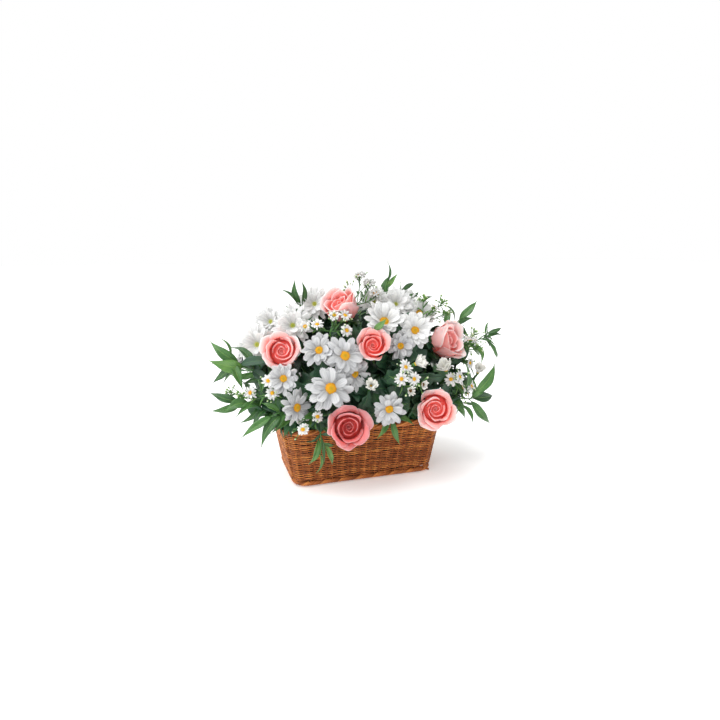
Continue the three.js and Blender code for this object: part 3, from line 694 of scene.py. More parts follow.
# A darker copy of the leaf look for leaves up the stems, beside the roses and round the rim: partly
# their own darker green and partly painted shade of the arrangement's inside
DARK_LEAF = leaf_look(
    "inner_leaves", (0.007, 0.032, 0.019), (0.018, 0.074, 0.034), (0.07, 0.19, 0.055), 0.45
)
STEM = plain_look("green_stems", (0.03, 0.11, 0.02), (0.08, 0.22, 0.045), 220.0, 0.5, 0.3)
FOAM = plain_look("wet_foam", (0.012, 0.05, 0.022), (0.03, 0.11, 0.05), 900.0, 0.9, 0.9)
FILM = plain_look("liner_film", (0.008, 0.02, 0.01), (0.02, 0.045, 0.022), 60.0, 0.35, 0.6)
REED = reed_look("woven_reed", 90.0, True)
BORDER = reed_look("border_reed", 60.0, False)
FLOOR = plain_look(
    "pale_floor", (0.94, 0.94, 0.94), (0.96, 0.96, 0.96), 3.0, 0.9, 0.0,
    Emission_Color=(1, 1, 1, 1), Emission_Strength=0.25,
)

# ---- Leaves and stems ----
DOME_MIDDLE = vec([0, 0, 95])
DOME_SIZE = vec([150, 98, 140])  # inside this the green fills the arrangement
LEAF_TURN = 2.4  # radians round the stem from one leaf to the next


def outward(point):
    """The direction out of the arrangement at a point."""
    return unit((vec(point) - DOME_MIDDLE) / DOME_SIZE**2 + [0, 0, 1e-4])


def held_in(point, limit=1.0):
    """Draws a point back until it lies inside the dome of green."""
    reach = np.linalg.norm((point - DOME_MIDDLE) / DOME_SIZE)
    return DOME_MIDDLE + (point - DOME_MIDDLE) * min(1.0, limit / reach)


def leaf(
    shape, base, tip, width, material, number, face,
    arch=0.10, fold=0.35, curl=0.12, lobes=0, bow=0.0,
):
    """A pointed leaf from its base on the stem to its tip, with its upper side towards face. It
    arches up from its stem, its tip hangs by curl, and bow swings its middle sideways."""
    base, tip = vec(base), vec(tip)
    length = np.linalg.norm(tip - base)
    forward = (tip - base) / length
    up = face - forward * np.dot(face, forward)
    if np.linalg.norm(up) < 0.05:
        spare = vec([0.3, 0.2, 1.0])
        up = spare - forward * np.dot(spare, forward)
    up = unit(up)
    side = np.cross(forward, up)
    rows, cols = (17, 7) if length > 16 else (8, 3)
    v = np.linspace(0, 1, rows)[:, None]
    u = np.linspace(-1, 1, cols)[None, :]
    edge = (v / 0.37) ** 0.85 * ((1 - v) / 0.63) ** 1.45
    if lobes:
        edge = (v / 0.62) ** 0.9 * np.clip((1 - v) / 0.38, 0, 1) ** 0.6
        edge = np.minimum(edge, 1.25) * (0.66 + 0.34 * np.abs(np.cos(math.pi * lobes * v)))
    half = np.maximum(width / 2 * edge, 0.02 * width + 0.12)
    height = arch * length * np.sin(math.pi * v**0.8)
    height = height - curl * length * smooth(0.55, 1.0, v) * (v - 0.55)
    sway = bow * length * np.sin(math.pi * v)
    wave = 0.05 * width * np.sin(math.pi * (5 * v + number * 9)) * u**2 * np.sin(math.pi * v)
    lattice = (
        base
        + forward * (length * v * np.ones_like(u))[..., None]
        + side * (u * half + sway)[..., None]
        + up * (height + fold * np.abs(u) * half + wave)[..., None]
    )
    shape.sheet(lattice, LEAF_THICKNESS, material, number)


def random_bow():
    return chance.choice([-1, 1]) * draw(0.03, 0.12)


def stem_end(at):
    """Where a stem ends inside the foam: lower flowers enter nearer the foam's side."""
    share = FOAM_SPREAD * min(max(1.5 - at[2] / 220, 0.4), 0.9)
    return vec([at[0] * FOAM_SPREAD, min(max(at[1] * share, -34), 34), FOAM_TOP - STEM_DEPTH])


def stalk(green, top, direction, end, bend, thick, sides, count=16, number=0.4):
    """A stem that leaves its flower straight behind and bends to its end. Returns its path."""
    path = bezier([top, top - direction * bend * np.linalg.norm(top - end), end], count)
    green.tube(path, thick / 2, STEM, number, sides=sides)
    return path


def leaning(base, hint, share, turn):
    """The way out of the arrangement at base, and a way that leans from it, turned round it."""
    out = outward(base)
    across = square_to(out, hint)
    return out, unit(share * out + across * math.cos(turn) + np.cross(out, across) * math.sin(turn))


def stem_leaves(shape, path, count, length, width, lobes=3, first=0.12, last=0.7):
    """Dark leaves up a stem, held behind the flowers."""
    turn = draw(0, 2 * math.pi)
    for k in range(count):
        share = first + (last - first) * (k + draw(0, 0.6)) / count
        base = path[int(share * (len(path) - 1))]
        turn += LEAF_TURN
        out, aim = leaning(base, [0.2, 0.1, 1.0], 0.75, turn)
        tip = held_in(base + aim * length * draw(0.75, 1.15))
        if np.linalg.norm(tip - base) < 0.4 * length:
            continue
        if tip[2] < FOAM_TOP - 4:
            tip[2] = FOAM_TOP - 4 + draw(0, 8)
        face = unit(out + shake(0.4))
        number = draw(0.05, 0.75)
        leaf(shape, base, tip, width * draw(0.8, 1.15), DARK_LEAF, number, face, lobes=lobes)


# ---- Roses ----
GOLDEN_TURN = math.radians(137.508)
# A rose's petals from its heart outwards. Lengths are shares of the bloom's radius and angles are
# degrees: the rim's distance from the axis, its height, half the petal's span, the length of the
# lip that rolls out past the rim, how far it rolls, and how much the petal bellies below the rim.
ROSE_PETALS = [
    (0.040, -0.12, 150, 0.03, 40, 1.5),
    (0.070, -0.10, 125, 0.04, 50, 1.4),
    (0.105, -0.12, 112, 0.05, 55, 1.4),
    (0.145, -0.07, 104, 0.06, 58, 1.35),
    (0.205, -0.09, 100, 0.07, 62, 1.3),
    (0.260, -0.02, 92, 0.09, 66, 1.28),
    (0.330, -0.05, 84, 0.11, 70, 1.25),
    (0.390, 0.02, 76, 0.15, 76, 1.22),
    (0.470, -0.01, 68, 0.20, 82, 1.2),
    (0.530, 0.00, 62, 0.27, 88, 1.18),
    (0.585, -0.04, 58, 0.33, 94, 1.15),
    (0.620, -0.08, 56, 0.38, 100, 1.12),
    (0.640, -0.13, 54, 0.43, 106, 1.10),
    (0.655, -0.19, 54, 0.47, 110, 1.08),
    (0.660, -0.25, 54, 0.50, 114, 1.06),
    (0.655, -0.32, 54, 0.52, 118, 1.05),
]
# A rose's packed middle, under its rims, and the swelling where its stem begins
ROSE_CORE = [
    (0.02, -1.0), (0.30, -0.95), (0.56, -0.6), (0.55, -0.36),
    (0.40, -0.24), (0.2, -0.19), (0.02, -0.22),
]
ROSE_HIP = [(0.02, -1.42), (0.12, -1.40), (0.17, -1.28), (0.16, -1.15), (0.20, -1.05), (0.02, -0.98)]
CUP_ROWS, LIP_ROWS, PETAL_COLUMNS = 10, 11, 21


def rose_petal(shape, turn, at, sizes, layer, azimuth, spec, material):
    """One petal: a cup from the bloom's foot to its rim, and a lip that rolls outwards."""
    pointed, closed = spec["pointed"] * layer, spec["closed"] * layer
    u = np.linspace(-1, 1, PETAL_COLUMNS)
    rho, rim, half, lip, bend, belly = sizes
    rho = rho * (1 + 0.10 * closed) + layer * draw(-0.03, 0.03)
    rim = rim + 0.16 * closed + layer * draw(-0.04, 0.04)
    lean = draw(-1, 1) * 0.06 * layer
    droop = (0.05 + 0.22 * layer) * np.abs(u) ** 2.4 + lean * u
    middle = np.stack([0 * u + rho * belly + 0.05, 0 * u - 0.62 + 0.2 * rho], axis=1)
    last = np.stack([0 * u + rho, rim - droop], axis=1)
    cup = bent(np.linspace(0, 1, CUP_ROWS)[:, None, None], vec([0.10, -1.10]), middle, last)
    bend = math.radians(bend) * (1 + draw(-0.2, 0.2)) * (1 - 0.42 * closed)
    bend = bend * (1 + 0.42 * pointed * np.exp(-(((np.abs(u) - 0.55) / 0.24) ** 2)))
    length = lip * (1 - 0.66 * np.abs(u) ** 2.6) * (1 + 0.14 * pointed * np.exp(-((u / 0.22) ** 2)))
    length = length * (1 + draw(-0.24, 0.06))
    start = np.arctan2(*(last - middle).T[::-1])
    edge = [cup[-1]]
    for k in range(1, LIP_ROWS + 1):
        angle = start - bend * (k / LIP_ROWS) ** 1.15
        step = np.stack([np.cos(angle), np.sin(angle)], axis=1) * (length / LIP_ROWS)[:, None]
        edge.append(edge[-1] + step)
    profile = np.concatenate([cup, np.array(edge[1:])])
    v = np.linspace(0, 1, len(profile))[:, None]
    phase = draw(0, 6.3, 2)
    waves = 0.030 * np.sin(u * 4.3 + phase[0]) * v**3 + 0.018 * np.sin(u * 9.1 + phase[1]) * v**5
    swirl = spec["swirl"] * (0.03 + 0.11 * math.sin(math.pi * min(layer * 1.1, 1)))
    swirl = swirl * (u + spec["skew"] * chance.normal()) * v
    out = profile[..., 0] + swirl + waves * layer
    height = profile[..., 1] + waves * 0.7
    spread = 0.35 + 0.65 * np.sin(0.5 * math.pi * np.minimum(v * 1.8, 1))
    angle = azimuth + math.radians(half) * u * spread
    lattice = np.stack([out * np.cos(angle), out * np.sin(angle), height], axis=2)
    number = layer + spec["pale"] + draw(-0.12, 0.12)
    shape.sheet(lattice * spec["across"] / 2 @ turn.T + at, PETAL_THICKNESS, material, number)


def make_rose(spec):
    name, at, direction = spec["name"], vec(spec["at"]), facing(spec["aim"])
    radius = spec["across"] / 2
    turn = basis(direction)
    petals, green = Shape(), Shape()
    material = DUSTY if name == DEEP_ROSE else PINK
    revolve(petals, vec(ROSE_CORE) * radius, turn, at, material, 0.1 + spec["pale"] / 2, 24)
    for k, sizes in enumerate(ROSE_PETALS):
        layer = k / (len(ROSE_PETALS) - 1)
        azimuth = math.radians(spec["roll"]) + k * GOLDEN_TURN + draw(-0.35, 0.35)
        rose_petal(petals, turn, at, sizes, layer, azimuth, spec, material)
    petals.build(name + "_bloom", "rose", [name])

    revolve(green, vec(ROSE_HIP) * radius, turn, at, STEM, 0.5)
    for k in range(5):
        angle = 2 * math.pi * k / 5 + draw(-0.2, 0.2)
        out = vec([math.cos(angle), math.sin(angle), 0])
        base = turn @ (out * 0.15 + [0, 0, -1.12]) * radius + at
        tip = turn @ (out * 0.78 + [0, 0, -0.95 - draw(0, 0.4)]) * radius + at
        leaf(green, base, tip, 0.24 * radius, LEAF, 0.5, turn[:, 2], arch=-0.12, fold=0.2)
    top = at - direction * 1.3 * radius
    thick = dict(thick=ROSE_STEM, sides=10, number=0.5)
    path = stalk(green, top, direction, stem_end(at), bend=0.25, **thick)
    if at[2] > 150:
        rose_leaf(green, path, 0.12, radius)
        rose_leaf(green, path, 0.28, radius)
    if name in LEAF_OVER:
        base, tip = LEAF_OVER[name]
        leaf(green, base, tip, 8.5, LEAF, 0.6, [-0.3, -0.9, 0.3], arch=0.04, fold=0.15, bow=0.06)
    stem_leaves(green, path, count=7, length=52, width=28)
    green.build(name + "_stem", "foliage", [name])


def rose_leaf(shape, path, share, radius):
    """A leaf stalk with a leaflet at its end and two pairs beside it."""
    base = path[int(share * (len(path) - 1))]
    out, aim = leaning(base, [0.1, 0.2, 1.0], 0.35, draw(0, 2 * math.pi))
    end = held_in(base + aim * radius * 1.55, 1.12)
    line = bezier([base, (base + end) / 2 + out * 5, end], 8)
    shape.tube(line, 0.8, STEM, 0.5, sides=5)
    sideways = square_to(aim, out)
    for place, way in ((7, 0), (5, 1), (5, -1), (3, 1), (3, -1)):
        start = line[place]
        heading = unit(aim + way * 1.2 * sideways)
        tip = held_in(start + heading * radius * (0.95 if way == 0 else 0.8), 1.15)
        number = draw(0.3, 0.75)
        if np.linalg.norm(tip - start) > 0.3 * radius:
            leaf(shape, start, tip, radius * 0.42, DARK_LEAF, number, out, arch=0.06, fold=0.25)


# ---- Daisies and asters ----
def ray_petal(
    shape, turn, at, azimuth, width, start, bend, finish, twist, material, number, rows=11, cols=7
):
    """A long petal of a daisy. Its middle line goes from start by bend to finish, each a distance
    out and a height."""
    t = 1 - (1 - np.linspace(0, 1, rows)) ** 1.25
    line = bezier([start, bend, finish], 60)
    out, height = (np.interp(t * 59, np.arange(60), line[:, k])[:, None] for k in (0, 1))
    v = t[:, None]
    u = np.linspace(-1, 1, cols)[None, :]
    length = math.hypot(finish[0] - start[0], finish[1] - start[1])
    broad = (0.36 + 0.64 * smooth(0.0, 0.55, v)) * (1 - 0.36 * np.clip((v - 0.74) / 0.26, 0, 1) ** 2)
    half = width / 2 * broad
    notches = 0.034 * length * np.cos(3 * math.pi * u + draw(-0.9, 0.9)) * v**8
    rounding = 0.09 * length * np.abs(u) ** 2.4 * v**3 + notches
    run, rise = np.gradient(out, axis=0), np.gradient(height, axis=0)
    size = np.hypot(run, rise)
    run, rise = run / size, rise / size
    hollow = half * (0.22 * u**2 - 0.10 * np.cos(2.5 * math.pi * u)) * (1 - 0.4 * v)
    hollow = hollow + half * u * math.tan(twist) * v
    x = out - rounding * run - hollow * rise
    z = height - rounding * rise + hollow * run
    y = u * half + 0.045 * length * chance.normal() * v**2
    c, s = math.cos(azimuth), math.sin(azimuth)
    lattice = np.stack([x * c - y * s, x * s + y * c, z], axis=2)
    shape.sheet(lattice @ turn.T + at, PETAL_THICKNESS, material, number)


def florets(shape, turn, at, radius, dome, count, size, material):
    """Small bumps packed in a spiral over a flower's eye."""
    k = np.arange(count)
    share = np.sqrt((k + 0.5) / count)[:, None]
    angle = k * GOLDEN_TURN
    spiral = np.stack([np.cos(angle), np.sin(angle), 0 * angle], axis=1)
    normal = unit(2 * dome * share * spiral + [0, 0, radius])[:, None]
    side = unit(np.cross(normal, [0.1, 0.05, 1.0]) + 1e-6)
    other = np.cross(normal, side)
    middle = (radius * share * spiral + dome * (1 - share**2) * vec([0, 0, 1]))[:, None]
    around = np.linspace(0, 2 * np.pi, 6, endpoint=False)[None, :, None]
    ring = (side * np.cos(around) + other * np.sin(around)) * size
    levels = [(1.0, -0.6), (1.0, 0.35), (0.62, 0.95), (0, -0.6), (0, 0.8)]
    rings = [middle + ring * wide + normal * size * high for wide, high in levels]
    points = np.concatenate([*rings[:3], rings[3][:, :1], rings[4][:, :1]], axis=1)
    faces = np.concatenate([lattice_quads(3, 6), end_caps(3, 6)])
    quads = (faces[None] + 20 * k[:, None, None]).reshape(-1, 4)
    shape.add(points.reshape(-1, 3) @ turn.T + at, quads, grained(count, 20, 0, share), material)


FULL_DAISY = [(7, 0.70, 0.16), (10, 0.88, 0.06), (12, 1.0, 0.0)]  # petals, their reach and rise
NARROW_DAISY = [(9, 0.58, 0.24), (15, 0.86, 0.10), (18, 1.0, 0.0)]


def make_head(flower, green, at, aim, across, opening, centre):
    """A daisy's petals, its eye and the green cup behind it."""
    at, direction = vec(at), facing(aim)
    turn = basis(direction)
    radius = across / 2
    greenish, half_open = centre == "green", opening < 0.4
    lift = (1 - opening) * radius
    reach = max(math.sqrt(opening * (2 - opening)), 0.4) * radius
    eye = (0.16 if half_open else 0.13 if greenish else 0.235) * radius
    # The green-eyed and the higher heads take the petals painted lighter, the rest those painted
    # darker for shade
    petal = CREAM if half_open else LIT_WHITE if greenish or at[2] > 195 else SHADED_WHITE
    for count, share, raised in NARROW_DAISY if greenish else FULL_DAISY:
        phase = draw(0, 2 * math.pi)
        for k in range(count):
            azimuth = phase + 2 * math.pi * (k + draw(-0.28, 0.28)) / count
            far = reach * share * (1 + draw(-0.2, 0.03))
            high = (lift + raised * radius) + draw(-0.16, 0.12) * radius
            width = 2 * math.pi * radius / max(count, 11) * 0.60 * draw(0.85, 1.12)
            width *= 0.95 if half_open else 1
            bend = (far * (0.5 + 0.14 * (1 - opening)), 0.05 * radius + 0.42 * high)
            twist = chance.normal() * 0.42
            ray_petal(
                flower, turn, at, azimuth, width, (eye * 0.72, 0.0), bend, (far, high), twist,
                petal, draw(),
            )
    gold = GREENISH if greenish else GOLD
    dome = eye * 0.34
    pad = [(0.1, -1.2), (eye, -1.0), (eye, 0.2), (eye * 0.7, dome * 0.6), (0.1, dome)]
    revolve(flower, pad, turn, at, gold, 0.4)
    florets(flower, turn, at + direction * 0.3, eye, dome, 40 if half_open else 95, eye * 0.098, gold)
    cup = [(0.5, -5.2), (2.2, -4.8), (eye * 0.92, -3.0), (eye * 1.12, -1.2), (eye * 0.9, -0.5)]
    revolve(green, [*cup, (0.1, -0.4)], turn, at, STEM, 0.5)


def make_daisy(name, fork, heads):
    flower, green = Shape(), Shape()
    for head in heads:
        make_head(flower, green, *head)
    for at, aim, *_ in heads:
        at, direction = vec(at), facing(aim)
        end, bend = (stem_end(at), 0.25) if fork is None else (vec(fork), 0.3)
        path = stalk(green, at - direction * 4, direction, end, bend, DAISY_STEM, sides=8)
        if fork is None:
            stem_leaves(green, path, count=7, length=46, width=28)
        else:
            stem_leaves(green, path, count=3, length=44, width=28, first=0.2, last=0.9)
    if fork is not None:
        path = bezier([fork, stem_end(fork)], 16)
        green.tube(path, DAISY_STEM / 2 * 1.2, STEM, 0.4, sides=8)
        stem_leaves(green, path, count=5, length=54, width=32, first=0.05, last=0.75)
    flower.build(name + "_flower", "daisy", [name])
    green.build(name + "_stem", "foliage", [name])


def aster_flower(flower, green, at, direction, faded):
    turn = basis(direction)
    radius = ASTER_ACROSS / 2 * draw(0.8, 1.06)
    petal, gold = (CREAM, FADED) if faded else (SMALL, GOLD)
    for full, share, raised in ((6, 0.8, 0.2), (13, 1.0, 0.0)):
        count = full - 4 * faded
        phase = draw(0, 2 * math.pi)
        for k in range(count):
            azimuth = phase + 2 * math.pi * (k + draw(-0.28, 0.28)) / count
            far = radius * share * (1 + draw(-0.22, 0.05)) * (0.75 if faded else 1)
            high = radius * (raised + draw(-0.16, 0.2) + (0.4 if faded else 0))
            ray_petal(
                flower, turn, at, azimuth, draw(2.3, 3.4), (1.4, 0.0),
                (far * 0.55, 0.12 * radius), (far, high), chance.normal() * 0.3, petal, draw(),
                rows=7, cols=4,
            )
    eye = ASTER_EYE
    pad = [(0.1, -0.8), (eye, -0.6), (eye, 0.3), (eye * 0.6, 1.2), (0.1, 1.5)]
    revolve(flower, pad, turn, at, gold, 0.4, sides=10)
    florets(flower, turn, at + direction * 0.2, eye, dome=1.3, count=30, size=0.5, material=gold)
    cup = [(0.3, -3.6), (1.6, -3.0), (2.4, -1.4), (2.2, -0.3), (0.1, -0.2)]
    revolve(green, cup, turn, at, STEM, 0.5, 10)


def bud(flower, green, base, along, size):
    """A green cup with the white tips of its petals showing."""
    turn = basis(along)
    cup = vec([(0.15, -0.4), (0.8, 0.0), (1.15, 0.8), (1.0, 1.6), (0.1, 1.7)]) * size
    tips = vec([(0.1, 1.3), (0.95, 1.5), (0.9, 2.1), (0.5, 2.7), (0.05, 2.8)]) * size
    revolve(green, cup, turn, base, FRESH, 0.6, 8)
    revolve(flower, tips, turn, base, BUDS, draw(), 8)


def bud_cluster(flower, green, at, direction):
    """Buds close together on short twigs, with small leaves below them."""
    foot = at - direction * 7
    for k in range(9):
        spread = unit(direction + shake(0.75))
        tip = foot + spread * draw(5.5, 10.5)
        green.tube(bezier([foot, foot + direction * 3, tip], 5), 0.45, FRESH, 0.4, sides=5)
        bud(flower, green, tip, unit(tip - foot), draw(0.9, 1.5))
        if k % 2:
            needle(green, foot, spread, 11, FRESH)


def needle(shape, base, along, length, material):
    """A narrow leaf beside a thin stem."""
    around = shake(1)
    around = unit(around - along * np.dot(around, along))
    tip = base + (along * 0.8 + around) * length * draw(0.6, 1.0)
    leaf(shape, base, tip, length * 0.17, material, draw(0.1, 0.8), outward(base))


def twig(flower, green, base, along):
    """A side twig that ends in a bud."""
    around = shake(1)
    around = unit(around - along * np.dot(around, along) + 0.4 * outward(base))
    tip = base + (along * 0.9 + around) * draw(6, 12)
    line = bezier([base, base + along * 4, tip], 6)
    green.tube(line, 0.42, STEM, 0.4, sides=5)
    bud(flower, green, tip, unit(line[-1] - line[-2]), draw(0.8, 1.35))


def make_aster(name, fork, heads):
    """A branching stem with a small flower or a cluster of buds at each end."""
    flower, green = Shape(), Shape()
    fork = vec(fork)
    for k, at in enumerate(vec(heads)):
        away = unit(at - fork)
        front = vec([0.0, 1.0 if at[1] > 50 else -1.0, 0.35])
        direction = unit(0.45 * away + 0.75 * front + 0.35 * outward(at) + shake(0.22))
        if k in BUD_HEADS.get(name, ()):
            direction = unit(away + [0, 0, 0.6])
            bud_cluster(flower, green, at, direction)
        else:
            if k in UPWARD_HEADS.get(name, ()):
                direction = unit(0.3 * away + [0, 0.25, 1.0])
                for _ in range(4):
                    lean = unit(direction + shake(0.6))
                    aster_flower(flower, green, at - direction * 4 + lean * 3, lean, False)
            aster_flower(flower, green, at, direction, k in FADED_HEADS.get(name, ()))
        thin = dict(thick=ASTER_STEM * 0.85, sides=6, count=12)
        path = stalk(green, at - direction * 3, direction, fork, bend=0.3, **thin)
        for place in (2, 3, 4, 6, 8, 9):
            needle(green, path[place], unit(path[place - 1] - path[place]), 13, LEAF)
        for place in (3, 5, 8):
            twig(flower, green, path[place], unit(path[place - 1] - path[place]))
    path = bezier([fork, stem_end(fork)], 16)
    green.tube(path, ASTER_STEM / 2 * 1.25, STEM, 0.4, sides=6)
    stem_leaves(green, path, count=8, length=48, width=26, first=0.1, last=0.85)
    for place in range(1, 9):
        needle(green, path[place], unit(path[place - 1] - path[place]), 20, LEAF)
    flower.build(name + "_flowers", "aster", [name])
    green.build(name + "_stem", "foliage", [name])


# ---- Leafy sprigs ----
SLENDER = dict(arch=0.1, fold=0.4, curl=0.3)  # the form of a small leaf beside a sprig's stem


def branchlet(green, base, tip, width, face):
    """A twig with a slender leaf at its end, and a small leaf or two beside it where it is long."""
    along = tip - base
    length = np.linalg.norm(along)
    out = unit(face)
    bare = max(0.10, 1 - max(4.0 * width, 28) / length)
    start = base + along * bare + out * 0.16 * length * bare
    middle = base + along * bare * 0.5 + out * 0.14 * length * bare
    line = bezier([base, middle, start], 9)
    green.tube(line, np.linspace(0.9, 0.55, 9), STEM, 0.4, sides=6)
    number = draw(0.0, 0.65)
    form = dict(arch=draw(0.03, 0.13), fold=draw(0.2, 0.6), curl=draw(0, 0.4), bow=random_bow())
    leaf(green, start, tip, width, LEAF, number, face, **form)
    if length * bare < 9 or width < 5:
        return
    side = square_to(along, out)
    for place, way in ((2, 1), (5, -1)):
        heading = unit(unit(along) * 0.8 + side * way * 0.55 + shake(0.25))
        end = line[place] + heading * draw(18, 30)
        turned = unit(face + shake(0.5))
        small = min(width * 0.55, 7.5)
        leaf(green, line[place], end, small, LEAF, draw(0, 0.7), turned, **SLENDER)


def side_leaves(green, line, count, length, width):
    """Slender leaves on alternate sides of a sprig's outer stem."""
    for k in range(count):
        place = int((0.25 + 0.55 * (k + draw(0, 0.7)) / count) * (len(line) - 1))
        base = line[place]
        along = unit(line[min(place + 1, len(line) - 1)] - line[place - 1])
        out = outward(base)
        side = square_to(along, out) * (1 if k % 2 else -1)
        heading = unit(0.6 * along + 0.62 * side + 0.25 * out + shake(0.25))
        face = unit(vec([0, -0.8 if base[1] < LEAF_BACK else 0.8, 0.6]) + shake(0.4))
        tip = base + heading * length * draw(0.7, 1.1)
        bow, tone = random_bow(), draw(0.0, 0.55)
        wide = width * draw(0.8, 1.15)
        leaf(green, base, tip, wide, LEAF, tone, face, bow=bow, **SLENDER)


def collar(green, towards, count=9):
    """Short dark leaves that lie from the foam over the rim, on the side where the sprig stands."""
    ring, _ = outline(BASKET_HEIGHT, 0.0, np.arange(200) / 200)
    middle = np.argmax(unit(ring[:, :2]) @ unit(towards[:2])) / 200
    share = middle + (np.arange(count) - (count - 1) / 2) * 0.018 + draw(-0.005, 0.005, count)
    feet, out = outline(BASKET_HEIGHT, -19.0, share)
    over_the_end = abs(towards[0]) > 120
    reach = -1.0 if towards[1] < -50 else 8.0 if over_the_end else 4.0
    tips, _ = outline(BASKET_HEIGHT, reach, share + draw(-0.015, 0.015, count))
    for foot, tip, way in zip(feet, tips, out):
        foot = foot + [0, 0, draw(7, 14)]
        tip = tip + way * draw(-3, 3) + [0, 0, draw(3, 12) - (12 if over_the_end else 0)]
        face = unit(way * 0.5 + [0, 0, 1.0] + shake(0.3))
        number = draw(0.3, 1.0)
        leaf(green, foot, tip, draw(13, 18), DARK_LEAF, number, face, arch=0.16, fold=0.3)
    if towards[0] < -120:
        taller_collar(green, share)


def taller_collar(green, share):
    """Two rows of leaves that lean outwards above the collar at the basket's left end, where the
    flowers stand further apart and the foam would show between them."""
    own = np.random.default_rng(31)
    for row in range(2):
        places = share + (row - 0.5) * 0.009
        feet, out = outline(BASKET_HEIGHT, -22.0 - 6 * row, places)
        ends = places + own.uniform(-0.02, 0.02, len(places))
        tips, _ = outline(BASKET_HEIGHT, 1.0 - 9 * row, ends)
        for foot, tip, way in zip(feet, tips, out):
            foot = foot + [0, 0, own.uniform(8, 14) + 5 * row]
            tip = tip + way * own.uniform(-5, 5) + [0, 0, own.uniform(15, 25) + 14 * row]
            face = unit(way + [0, 0, 0.5] + 0.35 * own.normal(size=3))
            number, width = own.uniform(0.4, 1.0), own.uniform(14, 20)
            leaf(green, foot, tip, width, DARK_LEAF, number, face, arch=0.14, fold=0.3)


def make_sprig(name, path, leaves):
    green = Shape()
    line = bezier(path, 24)
    end = line[-1]
    green.tube(line, np.linspace(SPRIG_STEM / 2, 0.8, 24), STEM, 0.4, sides=7)
    green.tube(bezier([path[0], stem_end(path[0])], 4), SPRIG_STEM / 2, STEM, 0.4, sides=7)
    for share, tip, width in leaves:
        base = bezier(path, 101)[int(round(share * 100))]
        face = vec([0, 0.8 if base[1] > LEAF_BACK else -0.8, 0.6]) + shake(0.3)
        branchlet(green, base, vec(tip), width, face)
    beside = 9 if abs(end[0]) > 100 else 4 if end[1] > -50 else 0
    side_leaves(green, line, beside, length=38, width=9)
    dark = dict(count=17, length=42, width=15, lobes=0, first=0.1, last=0.95)
    stem_leaves(green, line[::-1], **dark)
    if abs(end[0]) > 120 or abs(end[1]) > 20:
        collar(green, end)
    green.build(name + "_sprig", "foliage", [name])


# ---- The basket ----
def outline(z, out, share):
    """Points of the basket's rounded outline at height z, moved out, at shares of the way round,
    and the directions that point straight out there."""
    z, out, share = np.broadcast_arrays(vec(z), out, share)
    f = z / BASKET_HEIGHT
    length, width, corner = (a + (b - a) * f for a, b in zip(FOOT_PLAN, RIM_PLAN))
    corner = np.maximum(corner + out, 2)
    sx, sy = length / 2 + out - corner, width / 2 + out - corner
    quarter = corner * math.pi / 2
    runs = np.stack([2 * sy, quarter, 2 * sx, quarter] * 2)
    ends = np.cumsum(runs, axis=0)
    distance = np.mod(share, 1.0) * ends[-1]
    index = np.minimum((distance[None] >= ends).sum(axis=0), 7)
    local = distance - np.take_along_axis(ends - runs, index[None], 0)[0]
    side, is_corner = index // 2, index % 2 == 1
    angle = side * math.pi / 2 + np.where(is_corner, local / corner, 0)
    normal = np.stack([np.cos(angle), np.sin(angle), 0 * angle], axis=-1)
    straight = np.where(is_corner, 0, local)
    hub_x = np.choose(side, [sx, np.where(is_corner, -sx, sx), -sx, np.where(is_corner, sx, -sx)])
    hub_y = np.choose(side, [np.where(is_corner, sy, -sy), sy, np.where(is_corner, -sy, sy), -sy])
    x = hub_x + corner * np.cos(angle) - straight * np.sin(angle)
    y = hub_y + corner * np.sin(angle) + straight * np.cos(angle)
    return np.stack([x, y, z], axis=-1), normal


WALL_MIDDLE = -2.2  # where the stakes stand, from the outline


def weave_wall():
    wall = Shape()
    for k in range(STAKE_COUNT):
        points, _ = outline(np.linspace(3.0, 80.0, 7), WALL_MIDDLE, (k + 0.5) / STAKE_COUNT)
        wall.tube(points, STAKE_RADIUS, REED, 0.2 + 0.3 * (k % 3) / 2, sides=8)
    low, high = FOOT_HEIGHT + 0.6, BASKET_HEIGHT - RIM_HEIGHT
    courses = int((high - low) / COURSE_PITCH)
    share = np.arange(8 * STAKE_COUNT) / (8 * STAKE_COUNT)
    tone = 0.5
    for k in range(courses):
        z = low + (k + 0.5) * (high - low) / courses
        swing = np.cos(math.pi * (share * STAKE_COUNT - 0.5 + k % 2))
        for waves, size in ((3, 0.30), (11, 0.22)):
            z = z + size * np.sin(2 * math.pi * (share * waves + draw()))
        points, normal = outline(z, WALL_MIDDLE, share)
        points = points + normal * (REED_SWING * np.sign(swing) * np.abs(swing) ** 0.8)[:, None]
        thick = REED_RADIUS * draw(0.84, 1.12)
        radii = 0.68 + (thick - 0.68) * np.abs(swing) ** 1.3
        tone = 0.65 * tone + 0.35 * draw()
        wall.tube(points, radii, REED, tone, sides=6, closed=True, across=swing)
    wall.build("woven_wall", "wicker", ["basket_wall"])


def twisted_border(middle_height, middle_out, strands, strand_radius, spread, turns, tuck=0.0):
    """Thick reeds twisted round each other, all the way round the basket."""
    rope = Shape()
    share = np.arange(14 * STAKE_COUNT) / (14 * STAKE_COUNT)
    for k in range(strands):
        angle = 2 * math.pi * (turns * share + k / strands)
        angle = angle + 0.15 * np.sin(2 * math.pi * (share * 9 + k * 0.3))
        z = middle_height + spread * np.sin(angle)
        out = spread * np.cos(angle) - tuck * np.maximum(middle_height - z, 0)
        points, normal = outline(z, middle_out, share)
        points = points + normal * out[:, None]
        radii = strand_radius * (1 + 0.05 * np.sin(2 * math.pi * (share * 17 + k * 0.21)))
        rope.tube(points, radii, BORDER, 0.25 + 0.5 * k / (strands - 1), sides=10, closed=True)
    return rope


